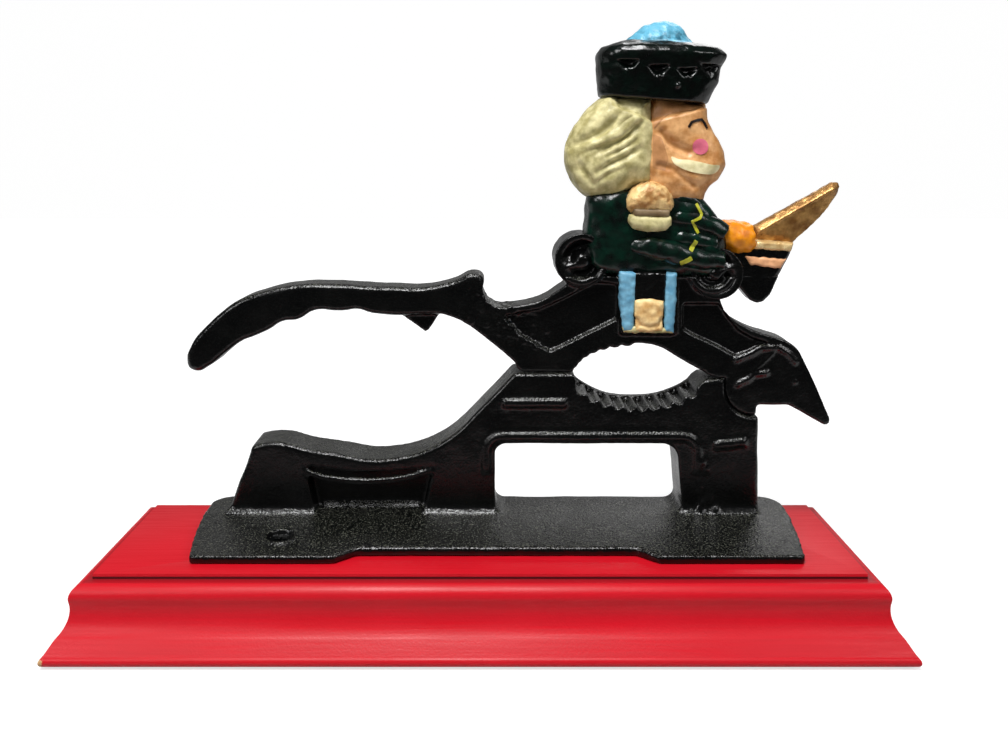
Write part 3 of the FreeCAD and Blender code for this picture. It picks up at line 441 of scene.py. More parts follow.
def read(piece, what):
    """Corner places ("co") or outward directions ("normal") of a piece as an array."""
    flat = np.empty(len(piece.data.vertices) * 3)
    piece.data.vertices.foreach_get(what, flat)
    return flat.reshape(-1, 3)


def spots(piece):
    """Place, height and distance behind the middle plane of each corner, in millimetres."""
    co = read(piece, "co") / MM
    return co[:, 0] - CASTING_X, co[:, 2] - PLINTH_TOP, co[:, 1] - MIDDLE


def put(piece, co):
    """Moves each corner to a new place, in metres."""
    piece.data.vertices.foreach_set("co", co.ravel())
    piece.data.update()


def put_spots(piece, x, h, y):
    """Moves each corner to a place, height and distance behind the middle plane."""
    put(piece, np.stack([x + CASTING_X, y + MIDDLE, h + PLINTH_TOP], 1) * MM)


def press(piece, depth):
    """Pushes each corner inwards by its depth in millimetres."""
    put(piece, read(piece, "co") - read(piece, "normal") * (depth * MM)[:, None])


def lump(piece, size, height, seed=0.0):
    """Pushes the surface in and out in soft lumps of a size in millimetres."""
    start = Vector((seed, seed, seed))
    places = [Vector(c) / (size * MM) + start for c in read(piece, "co")]
    press(piece, height * np.array([noise.noise(place) for place in places]))


def gap_to(x, h, path):
    """Distance of places to a line through points."""
    gap = np.full(len(x), 1e9)
    for a, b in zip(np.array(path[:-1], float), np.array(path[1:], float)):
        way = b - a
        share = np.clip(((x - a[0]) * way[0] + (h - a[1]) * way[1]) / max(way @ way, 1e-9), 0, 1)
        gap = np.minimum(gap, np.hypot(x - a[0] - share * way[0], h - a[1] - share * way[1]))
    return gap


def ring_gap(x, h, outline):
    """Distance of places to a closed outline."""
    return gap_to(x, h, list(outline) + [outline[0]])


def falloff(gap, width):
    """One where the gap is nothing, falling softly to nothing beyond about two widths."""
    return np.exp(-(gap / width) ** 2)


def dots(x, h, places, wide, high):
    """Soft dots round places, each one in its middle."""
    return sum(np.exp(-(((x - px) / wide) ** 2 + ((h - ph) / high) ** 2)) for px, ph in places)


def on_faces(y, beyond):
    """Whether a place is on either face, beyond a distance from the middle plane."""
    return np.abs(y) > beyond


def cushion(name, outline, half, rim, low=0.3, cell=0.6, rounds=4):
    """Cast form that is full in its middle and thins to a share of its half thickness at its rim."""
    piece = skin_over(board(name, outline, -half, half), cell)
    x, h, y = spots(piece)
    depth = np.clip(ring_gap(x, h, outline) / rim, 0, 1)
    full = low + (1 - low) * np.sqrt(1 - (1 - depth) ** 2)
    put_spots(piece, x, h, y * full)
    if rounds:
        soften(piece, rounds)
    return piece


def roof(name, outline, ridge, half, low, cell=0.4):
    """Flat form that rises to a ridge line on both faces, as a ground blade does."""
    piece = skin_over(board(name, outline, -half, half), cell)
    x, h, y = spots(piece)
    to_edge = ring_gap(x, h, outline)
    full = low + (1 - low) * to_edge / (to_edge + gap_to(x, h, ridge) + 1e-6)
    put_spots(piece, x, h, y * full)
    soften(piece, 2)
    return piece


def done(piece, material, body="lever", nodes=("lever_casting",)):
    """Finish, body and slot of a piece, and the CAD nodes that it stands for."""
    piece.data.materials.clear()
    piece.data.materials.append(material)
    piece.data.polygons.foreach_set("use_smooth", [True] * len(piece.data.polygons))
    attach(piece, body)
    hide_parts(*nodes)
    print(piece.name, len(piece.data.polygons), "faces")
    return piece


# %% [markdown]
# ## Plinth
# The board is moulded on four sides with a router. Its shape is the CAD node's, and a copy with
# its sharp edges eased is what sanding and paint leave of it.

# %% Plinth
def copy_node(name, node):
    """New piece with the same mesh as a CAD node, its corners joined."""
    form = bmesh.new()
    form.from_mesh(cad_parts[node].data)
    bmesh.ops.remove_doubles(form, verts=form.verts, dist=0.01 * MM)
    return new_piece(name, form)


plinth = copy_node("plinth", "wood_plinth")
ease = plinth.modifiers.new("eased", "BEVEL")
ease.width = 0.5 * MM
ease.segments = 3
ease.limit_method = "ANGLE"
ease.angle_limit = math.radians(25)
settle(plinth)
done(plinth, red_enamel, "base", ["wood_plinth"])

# %% [markdown]
# ## Base casting
# The iron base keeps the CAD node's shape. Molten iron fills no sharp corner, so a rough fillet
# runs where the web meets its foot, and the whole is skinned over and rounded. A bowed rib crosses
# the web's panel on both faces, and drops of enamel stand on the front of the post. Enamel piles
# up in a ring round the sunk head of the wood screw.

# %% Base casting
WEB_FRONT = 11.6 - MIDDLE
FOOT_TOP = 4.2
BASE_CELL = 0.74
FILLETS = [(-68.0, -30.0, 8.0, 2.6), (-104.5, -70.0, 0.6, 2.2), (-28.6, 0.6, 0.6, 2.2),
           (72.6, 101.0, 0.6, 2.2)]
RIB = [(-74.3, 21.0), (-67.4, 18.5), (-58.0, 17.2), (-49.9, 16.9), (-41.0, 17.4), (-34.5, 18.5),
       (-24.8, 21.0)]
DROPS = [(80.4, 8.6), (82.6, 10.0), (79.0, 6.6), (84.8, 6.4), (78.6, 14.6), (79.8, 24.6), (81.0, 21.8)]
SCREW = (-79.0, -9.0 - MIDDLE)
base_iron = copy_node("base_iron", "base_casting")
fillets = [tube("fillet", [(x, FOOT_TOP, WEB_FRONT + behind, radius) for x in (start, end)], 8)
           for start, end, behind, radius in FILLETS]
ribs = [tube("rib", [(x, h, side * (-WEB_FRONT - 0.6), 1.3) for x, h in RIB]) for side in (-1, 1)]
add_to(base_iron, *fillets, *ribs)
skin_over(base_iron, BASE_CELL, 4)
lump(base_iron, 3.0, 0.07)
lump(base_iron, 9.0, 0.2, 4.0)
x, h, y = spots(base_iron)
press(base_iron, -0.9 * dots(x, h, DROPS, 1.2, 1.5) * (y < WEB_FRONT + 1))
x, h, y = spots(base_iron)
from_screw = np.hypot(x - SCREW[0], y - SCREW[1])
on_foot = (h > 1.5) * (h < 6.5) * (read(base_iron, "normal")[:, 2] > 0.3)
pile = 0.9 * falloff(from_screw - 5.6, 0.8) - 0.5 * falloff(from_screw - 4.3, 0.6)
press(base_iron, -pile * on_foot)
done(base_iron, black_enamel, "base", ["base_casting"])

# %% [markdown]
# ## Sandy tops with painted sparkle
# The foot plate, the cradle and the handle face the light and show more of the sand than the
# upright faces do, so what looks up gets the second, coarser coat. Its light specks are dust and
# painted sparkle, which stands in for glints on the faces that look up.

# %% Sandy tops
LOOKS_UP = 0.62


def sandy_and_glinting_tops(piece):
    """Gives the faces that look up the coarser coat, with its specks of dust and painted sparkle."""
    piece.data.materials.append(glinting_foot_enamel)
    tilt = np.empty(len(piece.data.polygons) * 3)
    piece.data.polygons.foreach_get("normal", tilt)
    up = tilt.reshape(-1, 3)[:, 2] > LOOKS_UP
    # Painted sparkle: only the faces that look up get the lighter speckled coat.
    piece.data.polygons.foreach_set("material_index", up.astype(int))
    print(piece.name, "has", int(up.sum()), "faces that look up")


sandy_and_glinting_tops(base_iron)

# %% [markdown]
# ## Lever
# The lever and the soldier are one casting. The soldier's part is cut off the copy, because he
# gets crisp painted pieces of his own. The ends of the hinge pin are filled over with enamel. A
# brow, a thin line, a crinkle and a drop stand out on the beak, and the coat is wrinkled like
# orange peel where the handle falls from its hump to the saddle.

# %% Lever
LEVER_HALF = 7.5
LEVER_CELL = 0.62
PIVOT = (99.4, 53.5)
PIN_RADIUS = 3.6
CUT_HEIGHT = 96.6
PEEL_PATH = [(-8.0, 84.0), (6.0, 78.0), (14.0, 74.0)]
PEEL_SIZE = 1.8
BEAK_LINES = [  # height, width and path
    (1.1, 1.1, [(92.6, 64.4), (98.4, 66.7), (101.6, 68.7), (108.6, 69.0), (112.4, 66.7), (115.2, 63.6)]),
    (0.6, 0.8, [(106.6, 67.1), (101.6, 62.0), (98.4, 60.1)]),
    (1.2, 1.1, [(93.0, 54.8), (97.7, 57.0), (99.2, 58.5), (104.3, 59.3)]),
    (0.7, 1.0, [(115.0, 55.9), (115.4, 55.7)]),
]


def circle(x, height, radius, count=32):
    """Round outline."""
    turns = [2 * math.pi * t / count for t in range(count)]
    return [(x + radius * math.cos(t), height + radius * math.sin(t)) for t in turns]


lever_iron = copy_node("lever_iron", "lever_casting")
soldier_room = [(15, CUT_HEIGHT), (150, CUT_HEIGHT), (150, 240), (15, 240)]
cutter = board("cutter", soldier_room, -60, 60)
carve = lever_iron.modifiers.new("carve", "BOOLEAN")
carve.operation = "DIFFERENCE"
carve.solver = "EXACT"
carve.object = cutter
settle(lever_iron)
bpy.data.objects.remove(cutter)
for end in (-1, 1):
    near, far = sorted((end * (LEVER_HALF - 2.5), end * (LEVER_HALF + 0.1)))
    add_to(lever_iron, board("pin_end", circle(*PIVOT, PIN_RADIUS), near, far))
skin_over(lever_iron, LEVER_CELL, 5)
lump(lever_iron, 3.0, 0.07)
lump(lever_iron, 9.0, 0.2, 4.0)
x, h, y = spots(lever_iron)
raised = sum(high * falloff(gap_to(x, h, line), wide) for high, wide, line in BEAK_LINES)
press(lever_iron, -1.0 * on_faces(y, LEVER_HALF - 1) * raised)
peeled = gap_to(x, h, PEEL_PATH) < 7
wrinkles = [noise.noise(Vector(c) / (PEEL_SIZE * MM)) for c in read(lever_iron, "co")[peeled]]
depth = np.zeros(len(x))
depth[peeled] = 0.5 * np.array(wrinkles)
press(lever_iron, depth)
done(lever_iron, black_enamel)
sandy_and_glinting_tops(lever_iron)


# %% [markdown]
# ## Saddle scrolls
# The cantle and the pommel are rolled ends, as a strip would curl on itself, with a knob for an
# eye. A drum with a sunk spiral channel gives both faces.

# %% Scrolls
def roll(name, x, height, radius, half, start):
    """Drum with a channel that winds from its rim to its eye."""
    piece = skin_over(board(name, circle(x, height, radius, 72), -half, half), 0.5, 4)
    px, ph, y = spots(piece)
    reach = np.hypot(px - x, ph - height) / radius
    turn = (np.arctan2(ph - height, px - x) - start) % (2 * math.pi) / (2 * math.pi)
    ends = np.clip(turn * 9, 0, 1) * np.clip((1 - turn) * 9, 0, 1)
    channel = falloff(reach - 0.6 + 0.16 * turn, 0.2) * ends
    knob = np.clip(1 - (reach / 0.3) ** 2, 0, 1)
    press(piece, (3.6 * channel - 0.5 * knob) * on_faces(y, half - 1.0))
    soften(piece, 5)
    lump(piece, 3.0, 0.25)
    return done(piece, black_enamel)


roll("cantle_scroll", 32.6, 102.8, 10.3, 9.3, 3.6)
roll("pommel_scroll", 84.3, 97.7, 10.0, 9.3, 0.4)

# %% [markdown]
# ## Jacket
# The body is a flat cushion. Rolls of cloth lie across the chest, and the arm is folded over it.

# %% Jacket
jacket_line = round_line([(35.4, 127), (34.8, 118.8), (34.2, 110), (37.2, 99.6), (46.6, 96.2),
                          (68.6, 95.6), (82, 96.4), (88, 101), (88.6, 108), (86.6, 116),
                          (81.2, 123.6), (76, 128), (66.6, 130.4), (50.6, 130.4), (40.6, 129.6)])
jacket = cushion("jacket", jacket_line, 10.4, 7.0, 0.45)
lump(jacket, 5.0, 0.7, 2.0)
done(jacket, green_enamel)

# %% [markdown]
# ## Arm and chest rolls
# The forearm runs along the belt and three shorter rolls of the tunic lie above it, the highest at
# the collar. Each is a soft tube on both faces of the jacket.

# %% Rolls of the jacket
ROLLS = {
    "forearm": [(49, 108.4, 1.2), (52, 108.4, 3.0), (57, 108.2, 4.6), (62, 107.2, 5.2), (70, 105.0, 5.0),
                (79, 103.2, 4.4), (87, 102.8, 3.6)],
    "low_sleeve": [(65, 111.6, 1.8), (70, 111.4, 3.2), (77, 110.6, 3.4), (84, 109.2, 3.2)],
    "high_sleeve": [(65, 119.0, 1.8), (69, 119.4, 3.2), (76, 118.4, 3.6), (83, 115.4, 3.8),
                    (87, 112.8, 3.8)],
    "collar": [(66, 125.8, 1.8), (70, 126.2, 2.8), (75, 125.4, 2.6), (79, 122.8, 1.8)],
}
for name, stations in ROLLS.items():
    out = 7.6 if name == "collar" else 8.4
    for side, label in SIDES:
        bent = [(x, h, (out - 0.03 * max(x - 60, 0)) * side, radius) for x, h, radius in stations]
        sleeve = tube(name + "_" + label, bent)
        skin_over(sleeve, 0.55, 4)
        lump(sleeve, 4.0, 0.4, 3.0)
        done(sleeve, green_enamel)

# %% [markdown]
# ## Epaulettes
# A gilt knob sits on each shoulder with an umber band of painted shade under it, and a cream
# fringe hangs below.
# Each goes right through the jacket, so that both shoulders get theirs.

# %% Epaulettes
knob_line = round_line([(53.1, 131.6), (58.1, 132.9), (63.1, 131.6), (66.4, 127.4), (67.0, 123.2),
                        (64.6, 121.2), (57.6, 121.0), (51.0, 121.4), (49.0, 123.6), (49.8, 127.8)])
knob = cushion("epaulette", knob_line, 14.6, 5.0, 0.7, 0.5, 3)
lump(knob, 1.6, 0.45)
done(knob, knob_gold)
# Painted shade: the umber band stands for the shadow under the knob's lower lip.
knob_shade_line = [(51.2, 123.2), (65.4, 122.8), (65.0, 119.4), (51.4, 119.8)]
knob_shade = cushion("epaulette_shade_band", knob_shade_line, 14.2, 1.4, 0.86, 0.45, 2)
done(knob_shade, knob_shade_paint)
fringe_line = [(49.8, 120.8), (65.8, 120.2), (66.2, 116.4), (63.8, 114.4), (57.0, 113.8),
               (51.6, 115.2), (49.8, 117.4)]
fringe = cushion("epaulette_fringe", fringe_line, 14.4, 2.4, 0.8, 0.45, 2)
lump(fringe, 2.4, 0.3)
done(fringe, cream_enamel)

# %% [markdown]
# ## Face
# The head is a flat cushion with a doll's profile. The forehead lies back under the hat. One crease
# runs from the temple to the cheek and another round the jaw, which is full.

# %% Face
face_line = round_line([(58.6, 166), (70, 166), (79.6, 163.4), (80.6, 156.8), (83.4, 151),
                        (86.5, 145.6), (87.3, 140.6), (85.2, 134.8), (80.4, 129.2), (78.8, 125),
                        (71, 123.4), (62, 124.4), (55, 134), (54, 150)])
face = cushion("face", face_line, 11.2, 8.5, 0.35)
x, h, y = spots(face)
brow = np.clip((h - 155.6 - 0.26 * (x - 61)) / 1.6, 0, 1)
crease = gap_to(x, h, [(62.1, 151.4), (65, 147.6), (68.9, 145.4), (72.4, 144.2)])
chin = gap_to(x, h, [(61.2, 139.1), (66, 138.0), (69.9, 134.8), (74.4, 131.4)])
jaw = np.clip((x - 63) / 6, 0, 1) * np.clip((141.6 - h) / 2, 0, 1) * np.clip((h - 131) / 3, 0, 1)
sunk = 2.6 * brow + 1.8 * falloff(crease, 1.5) + 1.1 * falloff(chin, 1.2) - 0.6 * jaw
press(face, sunk * on_faces(y, 3))
soften(face, 2)
lump(face, 4.0, 0.35)
done(face, flesh_enamel)

# %% [markdown]
# ## Hair
# A bun of combed locks swells behind the face. The comb marks are grooves from the nape up to the
# temple, and the hair under the hat's rim lies lower than the bun.

# %% Hair
hair_line = round_line([(39.9, 164.4), (33.6, 158.4), (28.9, 151.6), (26.6, 144.6), (26.9, 138.6),
                        (29.4, 132.6), (33.4, 127.8), (38.4, 126.2), (44.8, 127.4), (52.4, 129.8),
                        (59.6, 133.0), (61.6, 146), (61.4, 158), (60, 166), (48, 167)])
hair = cushion("hair", hair_line, 13.2, 12.0, 0.3, 0.5, 3)
COMB = [  # depth, width and path
    (1.2, 1.6, [(28.9, 145.6), (33.2, 148.8), (37.4, 151.4), (43.4, 155.6), (48.8, 159.6)]),
    (0.7, 0.8, [(32.4, 142.6), (38.6, 146.0), (44.8, 149.8)]),
    (1.3, 1.1, [(36.2, 142.4), (42.2, 146.6), (48.6, 150.2), (55.4, 154.6)]),
    (0.9, 0.8, [(41.4, 142.2), (46.8, 145.6), (52.4, 148.6)]),
    (1.1, 1.2, [(38.4, 136.0), (44.6, 140.4), (50.6, 144.4), (53.6, 145.6)]),
    (0.6, 0.9, [(37.0, 131.6), (42.6, 135.0), (48.0, 138.4)]),
    (0.9, 0.9, [(30.6, 141.2), (32.2, 137.4), (34.4, 134.6), (36.2, 131.6)]),
    (0.6, 0.7, [(43.6, 152.8), (48.4, 155.6), (53.8, 158.0)]),
]
x, h, y = spots(hair)
waver = 0.5 * np.sin(x / 6.3 + h / 5.1)
grooves = np.zeros(len(x))
for deep, wide, path in COMB:
    to_start = np.hypot(x - path[0][0], h - path[0][1])
    to_end = np.hypot(x - path[-1][0], h - path[-1][1])
    fade = 0.3 + 0.7 * np.clip(np.minimum(to_start, to_end) / 6, 0, 1)
    grooves += deep * fade * falloff(gap_to(x + waver, h - waver, path), wide)
under_hat = np.clip((h - 158.4 + 0.42 * (x - 50)) / 1.4, 0, 1) * np.clip((x - 43) / 3, 0, 1)
press(hair, (1.6 * grooves + 2.2 * under_hat) * on_faces(y, 3))
soften(hair, 2)
lump(hair, 6.0, 0.7, 7.0)
lump(hair, 2.2, 0.2)
done(hair, cream_enamel)

# %% [markdown]
# ## Hat
# A stiff felt hat with a rolled lip. Four arrow-shaped hollows go round the band on each side, and
# enamel has pooled in them and left a bead in each, and one more below.

# %% Hat
HAT_OVALS = [(60.1, 163.6, 20.3, 12.4, 1.5), (60.2, 164.4, 20.9, 13.0, 1.5),
             (61.7, 171, 23.1, 14.0, 0.8), (62.1, 176.6, 23.6, 14.6, 0.7),
             (62.8, 179.4, 24.6, 15.6, 0.8), (63.4, 181.2, 24.6, 15.8, 0.8),
             (62.8, 183.4, 22.8, 14.2, 0.4), (62.8, 184.8, 17.8, 11.4, 0.6),
             (63.0, 185.6, 14.0, 9.4, 0.8)]
ARROWS = [(48.8, 174.2), (60.0, 172.2), (70.8, 171.2), (80.0, 172.6)]
BEADS = [(49.3, 174.6), (60.5, 171.9), (71.0, 171.5), (79.7, 174.4), (67.2, 168.6)]
hat = skin_over(hoops("hat", HAT_OVALS, 0.72), 0.5, 4)
x, h, y = spots(hat)
pits = np.zeros(len(x))
for px, ph in ARROWS:
    inside = np.minimum(ph + 4.0 - h, (h - ph + 1.6 - 1.2 * np.abs(x - px)) / 1.6)
    slope = np.clip((h - ph + 2.4) / 6.0, 0, 1)
    pits = np.maximum(pits, np.clip(inside / 1.2, 0, 1) * slope)
press(hat, 3.0 * pits * on_faces(y, 4))
soften(hat, 3)
x, h, y = spots(hat)
press(hat, -1.3 * dots(x, h, BEADS, 1.0, 0.9) * on_faces(y, 4))
lump(hat, 5.0, 0.35, 1.0)
lump(hat, 1.8, 0.1, 2.0)
done(hat, hat_enamel)

# %% [markdown]
# ## Pompon
# A low ball of wool sits on the hat's top, wider than it is high, and is cast with it.

# %% Pompon
POMPON_OVALS = [(62.8, 184.0, 13.9, 9.6, 0.8), (62.8, 185.6, 13.0, 9.2, 0.8),
                (62.6, 187.8, 10.9, 8.2, 0.3), (63, 190.2, 9.2, 6.9, 0), (63.2, 191.9, 7.4, 5.4, 0),
                (63.5, 193.1, 4.2, 3.3, 0), (63.6, 193.7, 1.5, 1.2, 0)]
pompon = skin_over(hoops("pompon", POMPON_OVALS), 0.45, 3)
lump(pompon, 3.0, 0.6, 5.0)
done(pompon, pompon_enamel)

# %% [markdown]
# ## Fist, blade and case
# The orange cuff closes on a short gilt blade. Its faces rise to a ridge near the upper edge. Two
# pale bands cross the black case below it.

# %% Cuff and blade
CUFF_STATIONS = [(85.6, 112.4, 0, 5.2), (87.4, 112, 0, 6.2), (90.5, 111.4, 0, 6.4),
                 (94.6, 110.6, 0, 6.5), (97.8, 110.8, 0, 6.2), (99.6, 111, 0, 5.2)]
cuff = skin_over(tube("cuff", CUFF_STATIONS), 0.5, 3)
x, h, y = spots(cuff)
put_spots(cuff, x, h, y * 1.2)
lump(cuff, 3.0, 0.6)
done(cuff, orange_enamel)

blade_line = [(100.0, 115.4), (123.4, 128.4), (129.8, 132.2), (132.2, 132.2), (132.8, 130.6),
              (131.8, 127.4), (129, 123.1), (125.4, 118.7), (120.7, 114), (116.7, 110.6),
              (114.7, 108.2), (99.6, 109.0)]
blade = roof("blade", blade_line, [(100.6, 112.9), (129.6, 129.8)], 4.0, 0.3)
lump(blade, 1.6, 0.18)
done(blade, gold_paint)

case_line = [(90.4, 106.0), (93.2, 107.6), (115.4, 108.6), (113.8, 104.2), (110.8, 98.6),
             (107.6, 92.7), (104.3, 86.9), (101.4, 85.5), (98.8, 86.4), (96.9, 88.7), (93.3, 92.9),
             (91.2, 98.0)]
case = cushion("blade_case", case_line, 4.4, 2.6, 0.4, 0.5, 2)
lump(case, 4.0, 0.4)
done(case, black_enamel)
hilt_line = [(99.8, 110.2), (107, 109.8), (114.8, 109.2), (113.8, 105.6), (107, 106.0), (99.4, 106.6)]
hilt = cushion("hilt_band", hilt_line, 5.4, 1.2, 0.6, 0.4, 2)
lump(hilt, 2.0, 0.3)
done(hilt, pale_gold)
band_line = [(95.6, 104.2), (104, 103.8), (112.2, 103.0), (110.0, 98.8), (104, 99.4), (97.6, 100.4)]
band = cushion("case_band", band_line, 5.2, 1.2, 0.6, 0.4, 2)
lump(band, 2.0, 0.3)
done(band, peach_enamel)

# %% [markdown]
# ## Trousers
# Two blue stripes, glossy cloth between them, a cream hem and a tan knee stand out from both sides
# of the lever.

# %% Trousers
TROUSERS = [
    ("stripe_left", 11.5, stripe_enamel,
     [(46.8, 98.8), (53.6, 98.6), (53.0, 88), (52.4, 75.6), (48.0, 75.4), (46.9, 86)]),
    ("stripe_right", 11.5, stripe_enamel,
     [(64.2, 98.6), (68.8, 98.4), (68.6, 86), (67.8, 75.0), (63.6, 75.4), (63.6, 86)]),
    ("cloth", 11.2, black_enamel, [(51.6, 98.8), (65.0, 98.8), (64.6, 86.6), (52.0, 86.6)]),
    ("hem", 11.3, cream_enamel, [(47.4, 78.2), (68.2, 77.6), (67.8, 74.9), (48.0, 74.9)]),
]
for name, half, material, line in TROUSERS:
    piece = cushion(name, line, half, 1.4, 0.82, 0.45, 3)
    lump(piece, 2.0, 0.35)
    done(piece, material)

knee_line = [(52.4, 88.0), (58, 88.8), (63.8, 87.8), (63.4, 76.0), (58, 75.4), (52.8, 76.0)]
knee = cushion("knee", knee_line, 12.6, 4.0, 0.86, 0.45, 2)
x, h, y = spots(knee)
fold = gap_to(x, h, [(53.4, 80.6), (54.4, 78.6), (58, 77.6), (61.8, 78.4), (62.8, 80.6)])
press(knee, 0.9 * falloff(fold, 0.8) * on_faces(y, 4))
lump(knee, 2.2, 0.3)
done(knee, tan_enamel)


# %% [markdown]
# ## Painted marks
# Enamel stands a little proud of what it is painted on: the shade on temple and forehead, the rosy
# cheek, the smile, the closed eye and the jacket's braid. Each is laid on the surface behind it.

# %% Patch helper
def patch(name, outline, targets, side, material, proud=0.28, cell=0.4):
    """Thin layer of paint inside an outline, laid on the outermost of the target pieces."""
    trees = [BVHTree.FromObject(piece, bpy.context.evaluated_depsgraph_get()) for piece in targets]
    piece = skin_over(board(name, outline, -1.0, 1.0), cell, 1)
    co = read(piece, "co")
    outside = (MIDDLE + 40 * side) * MM
    for k, (x, y, z) in enumerate(co):
        hits = [tree.ray_cast(Vector((x, outside, z)), Vector((0, -side, 0)))[3] for tree in trees]
        gap = min([hit for hit in hits if hit is not None], default=30 * MM)
        lift = proud if (y / MM - MIDDLE) * side > 0 else -0.5
        co[k, 1] = outside - side * gap + side * lift * MM
    put(piece, co)
    return done(piece, material)


def stroke(points, width):
    """Outline of a brush stroke through points."""
    p = np.array(points, float)
    way = np.gradient(p, axis=0)
    way /= np.linalg.norm(way, axis=1)[:, None]
    off = np.stack([-way[:, 1], way[:, 0]], 1) * width / 2
    return list(map(tuple, np.concatenate([p + off, (p - off)[::-1]])))


# %% Painted marks
SMILE = [(65.6, 142.4), (68.4, 141.3), (72.3, 141.1), (76.6, 140.2), (80.5, 139.3), (84.0, 139.0),
         (83.8, 137.4), (81.9, 135.8), (79, 135.6), (74.2, 136.3), (69.9, 137.7), (66.6, 139.7)]
FOREHEAD = [(59.0, 152.6), (61.4, 155.6), (64.2, 157.8), (69.4, 159.2), (77.6, 160.2),
            (79.0, 160.6), (78.6, 163.4), (58.6, 164.0)]
TEMPLE = [(58.8, 138.0), (58.8, 150.8), (62.0, 149.4), (63.4, 145.4), (64.6, 141.6), (63.6, 137.0)]
ARCH = [(72.0, 153.2), (73.2, 155.2), (75.6, 156.0), (77.2, 156.2), (78.6, 154.6), (79.5, 152.8)]
BRAIDS = [  # name, width, fineness and path
    ("braid_", 1.1, 0.28, [(75.6, 124.6), (77.6, 120.6), (76.8, 119.2), (73.8, 117.8), (75.0, 116.0),
                           (76.4, 113.4)]),
    ("low_braid_", 1.5, 0.3, [(75.6, 110.6), (74.4, 108.4), (73.2, 106.8)]),
    ("hem_braid_", 1.7, 0.3, [(73.6, 104.2), (71.6, 103.0), (69.4, 102.0)]),
]
for side, label in SIDES:
    chest = [bpy.data.objects[name + "_" + label] for name in ROLLS] + [jacket]
    patch("temple_" + label, TEMPLE, [face], side, shaded_flesh, 0.12)
    patch("forehead_" + label, FOREHEAD, [face], side, shaded_flesh, 0.3)
    patch("cheek_" + label, circle(76.6, 146.0, 3.0, 24), [face], side, rose_enamel)
    patch("smile_" + label, round_line(SMILE, 3), [face], side, pale_cream, 0.5)
    patch("closed_eye_" + label, stroke(ARCH, 1.0), [face], side, brow_enamel, 0.3, 0.28)
    for name, wide, cell, line in BRAIDS:
        patch(name + label, stroke(line, wide), chest, side, braid_enamel, 0.3, cell)

# %% [markdown]
# ## Nodes that stay
# The hinge pin, the screws and the pads have the right shape, so they only get their finish.

# %% Finishes of the kept nodes
KEPT = {"hinge_pin": black_enamel, "plate_screw": black_enamel,
        "under_screws": zinc_plate, "felt_pads": wool_felt}
for node, material in KEPT.items():
    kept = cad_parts[node]
    kept.data.materials.clear()
    kept.data.materials.append(material)
    print(node, "keeps its shape, in", material.name)

# %% [markdown]
# ## Floor and backdrop
# The press stands on white paper with more white paper behind it. Where the camera sees the paper
# it glows, so that it looks white and still takes the shadow. Shiny surfaces find the paper behind
# the plinth's front glowing faintly, and the paper in front of it dark, as if the light stopped
# there, so that upright black faces have something dark to reflect.

# %% Paper
MIRROR_SHARE = 0.28


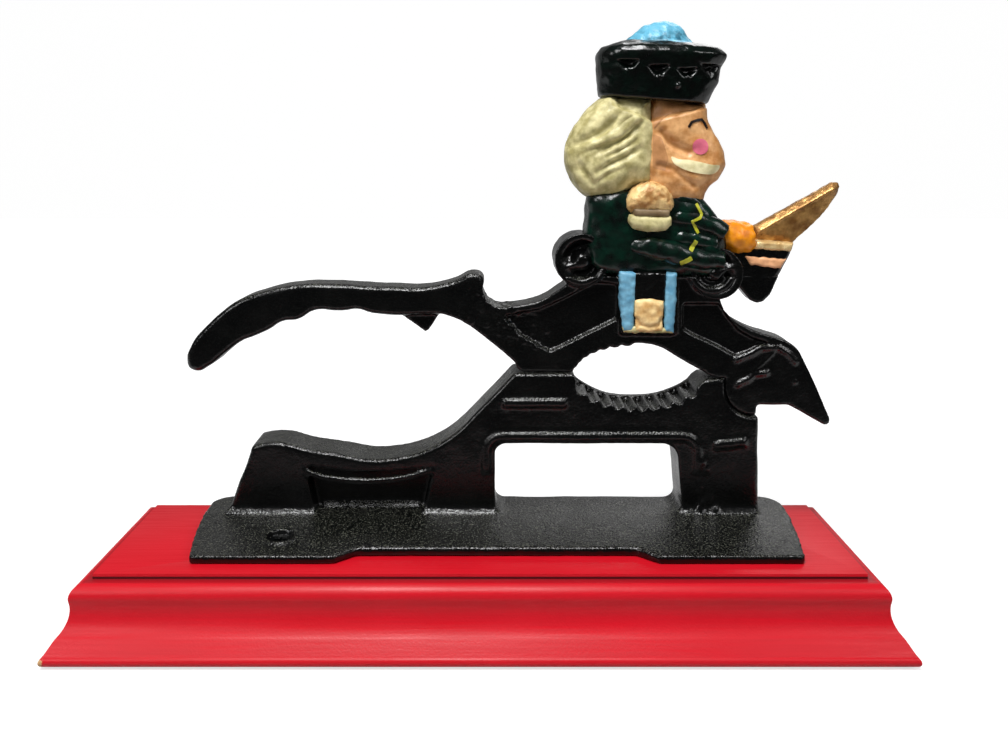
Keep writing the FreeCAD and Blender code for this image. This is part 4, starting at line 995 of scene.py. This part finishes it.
def paper(name, near_glow, body):
    """White paper that glows for the camera, less in reflections, and is plain paper to the lamps."""
    material, tree, shader, place = start_finish(name, Roughness=0.9)
    fibre = blend(tree, specks(tree, place, 2.0), "#FFFFFF", "#FAFAFA")
    away = add(tree, "ShaderNodeVectorMath", links={0: place}, operation="LENGTH").outputs["Value"]
    glow = remap(tree, away, 0.25, 0.8, near_glow, 1.0)
    back = add(tree, "ShaderNodeSeparateXYZ", links={0: place}).outputs["Y"]
    behind = remap(tree, back, -0.14, -0.06)
    path = add(tree, "ShaderNodeLightPath").outputs
    shiny = reckon(tree, "MAXIMUM", path["Is Glossy Ray"], path["Is Transmission Ray"])
    lit_mirror = reckon(tree, "MULTIPLY", shiny, behind)
    soft_mirror = reckon(tree, "MULTIPLY", lit_mirror, MIRROR_SHARE)
    shown = reckon(tree, "MAXIMUM", path["Is Camera Ray"], soft_mirror)
    lit = reckon(tree, "MULTIPLY", shown, glow)
    ahead = reckon(tree, "SUBTRACT", 1.0, behind)
    mirrored = reckon(tree, "MULTIPLY", shiny, ahead)
    sheet_colour = blend(tree, mirrored, body, "#1C1C1C")
    connect(tree, shader, Base_Color=sheet_colour, Emission_Color=fibre, Emission_Strength=lit)
    return material


def sheet(name, places, material):
    """Flat sheet of the stage."""
    form = bmesh.new()
    form.faces.new([form.verts.new(place) for place in places])
    made = new_piece(name, form)
    made.data.materials.append(material)
    print(name, "in", material.name)


# %% Floor and backdrop
floor_paper = paper("white_floor_paper", 0.7, "#B4B4B4")
sheet("floor", ((-3, -3, 0), (3, -3, 0), (3, 2, 0), (-3, 2, 0)), floor_paper)
backdrop_paper = paper("white_backdrop_paper", 1.0, "#505050")
sheet("backdrop", ((-3, 2, 0), (3, 2, 0), (3, 2, 3), (-3, 2, 3)), backdrop_paper)

# %% [markdown]
# ## Light
# The room is dim for the press, though the camera sees it white. One large soft lamp hangs over
# the press and a little in front of it, and weaker ones stand left, right and behind, so top edges
# shine and upright black faces stay deep.

# %% Lamps
PRESS_MIDDLE = Vector((0, 0, 0.09))
ROOM_LIGHT = 0.05
world = bpy.data.worlds.new("dim_room")
bpy.context.scene.world = world
world.use_nodes = True
tree = world.node_tree
tree.nodes.clear()
seen = add(tree, "ShaderNodeLightPath").outputs["Is Camera Ray"]
strength = remap(tree, seen, 0.0, 1.0, ROOM_LIGHT, 1.0)
room = add(tree, "ShaderNodeBackground", {"Color": (1, 1, 1, 1)}, {"Strength": strength})
add(tree, "ShaderNodeOutputWorld", links={"Surface": room.outputs[0]})


def lamp(name, place, size, power):
    """Square soft lamp that faces the middle of the press."""
    light = bpy.data.lights.new(name, "AREA")
    light.size = size
    light.energy = power
    made = bpy.data.objects.new(name, light)
    made.location = place
    made.rotation_euler = (PRESS_MIDDLE - Vector(place)).to_track_quat("-Z", "Y").to_euler()
    bpy.context.scene.collection.objects.link(made)
    print(name, "at", place, power, "W")


lamp("top_lamp", (-0.1, -0.35, 0.95), 0.4, 11.0)
lamp("left_lamp", (-0.9, -0.7, 0.7), 0.4, 4.0)
lamp("right_lamp", (0.9, -0.6, 0.8), 0.4, 3.0)
lamp("back_lamp", (0.4, 0.9, 0.8), 0.5, 2.2)
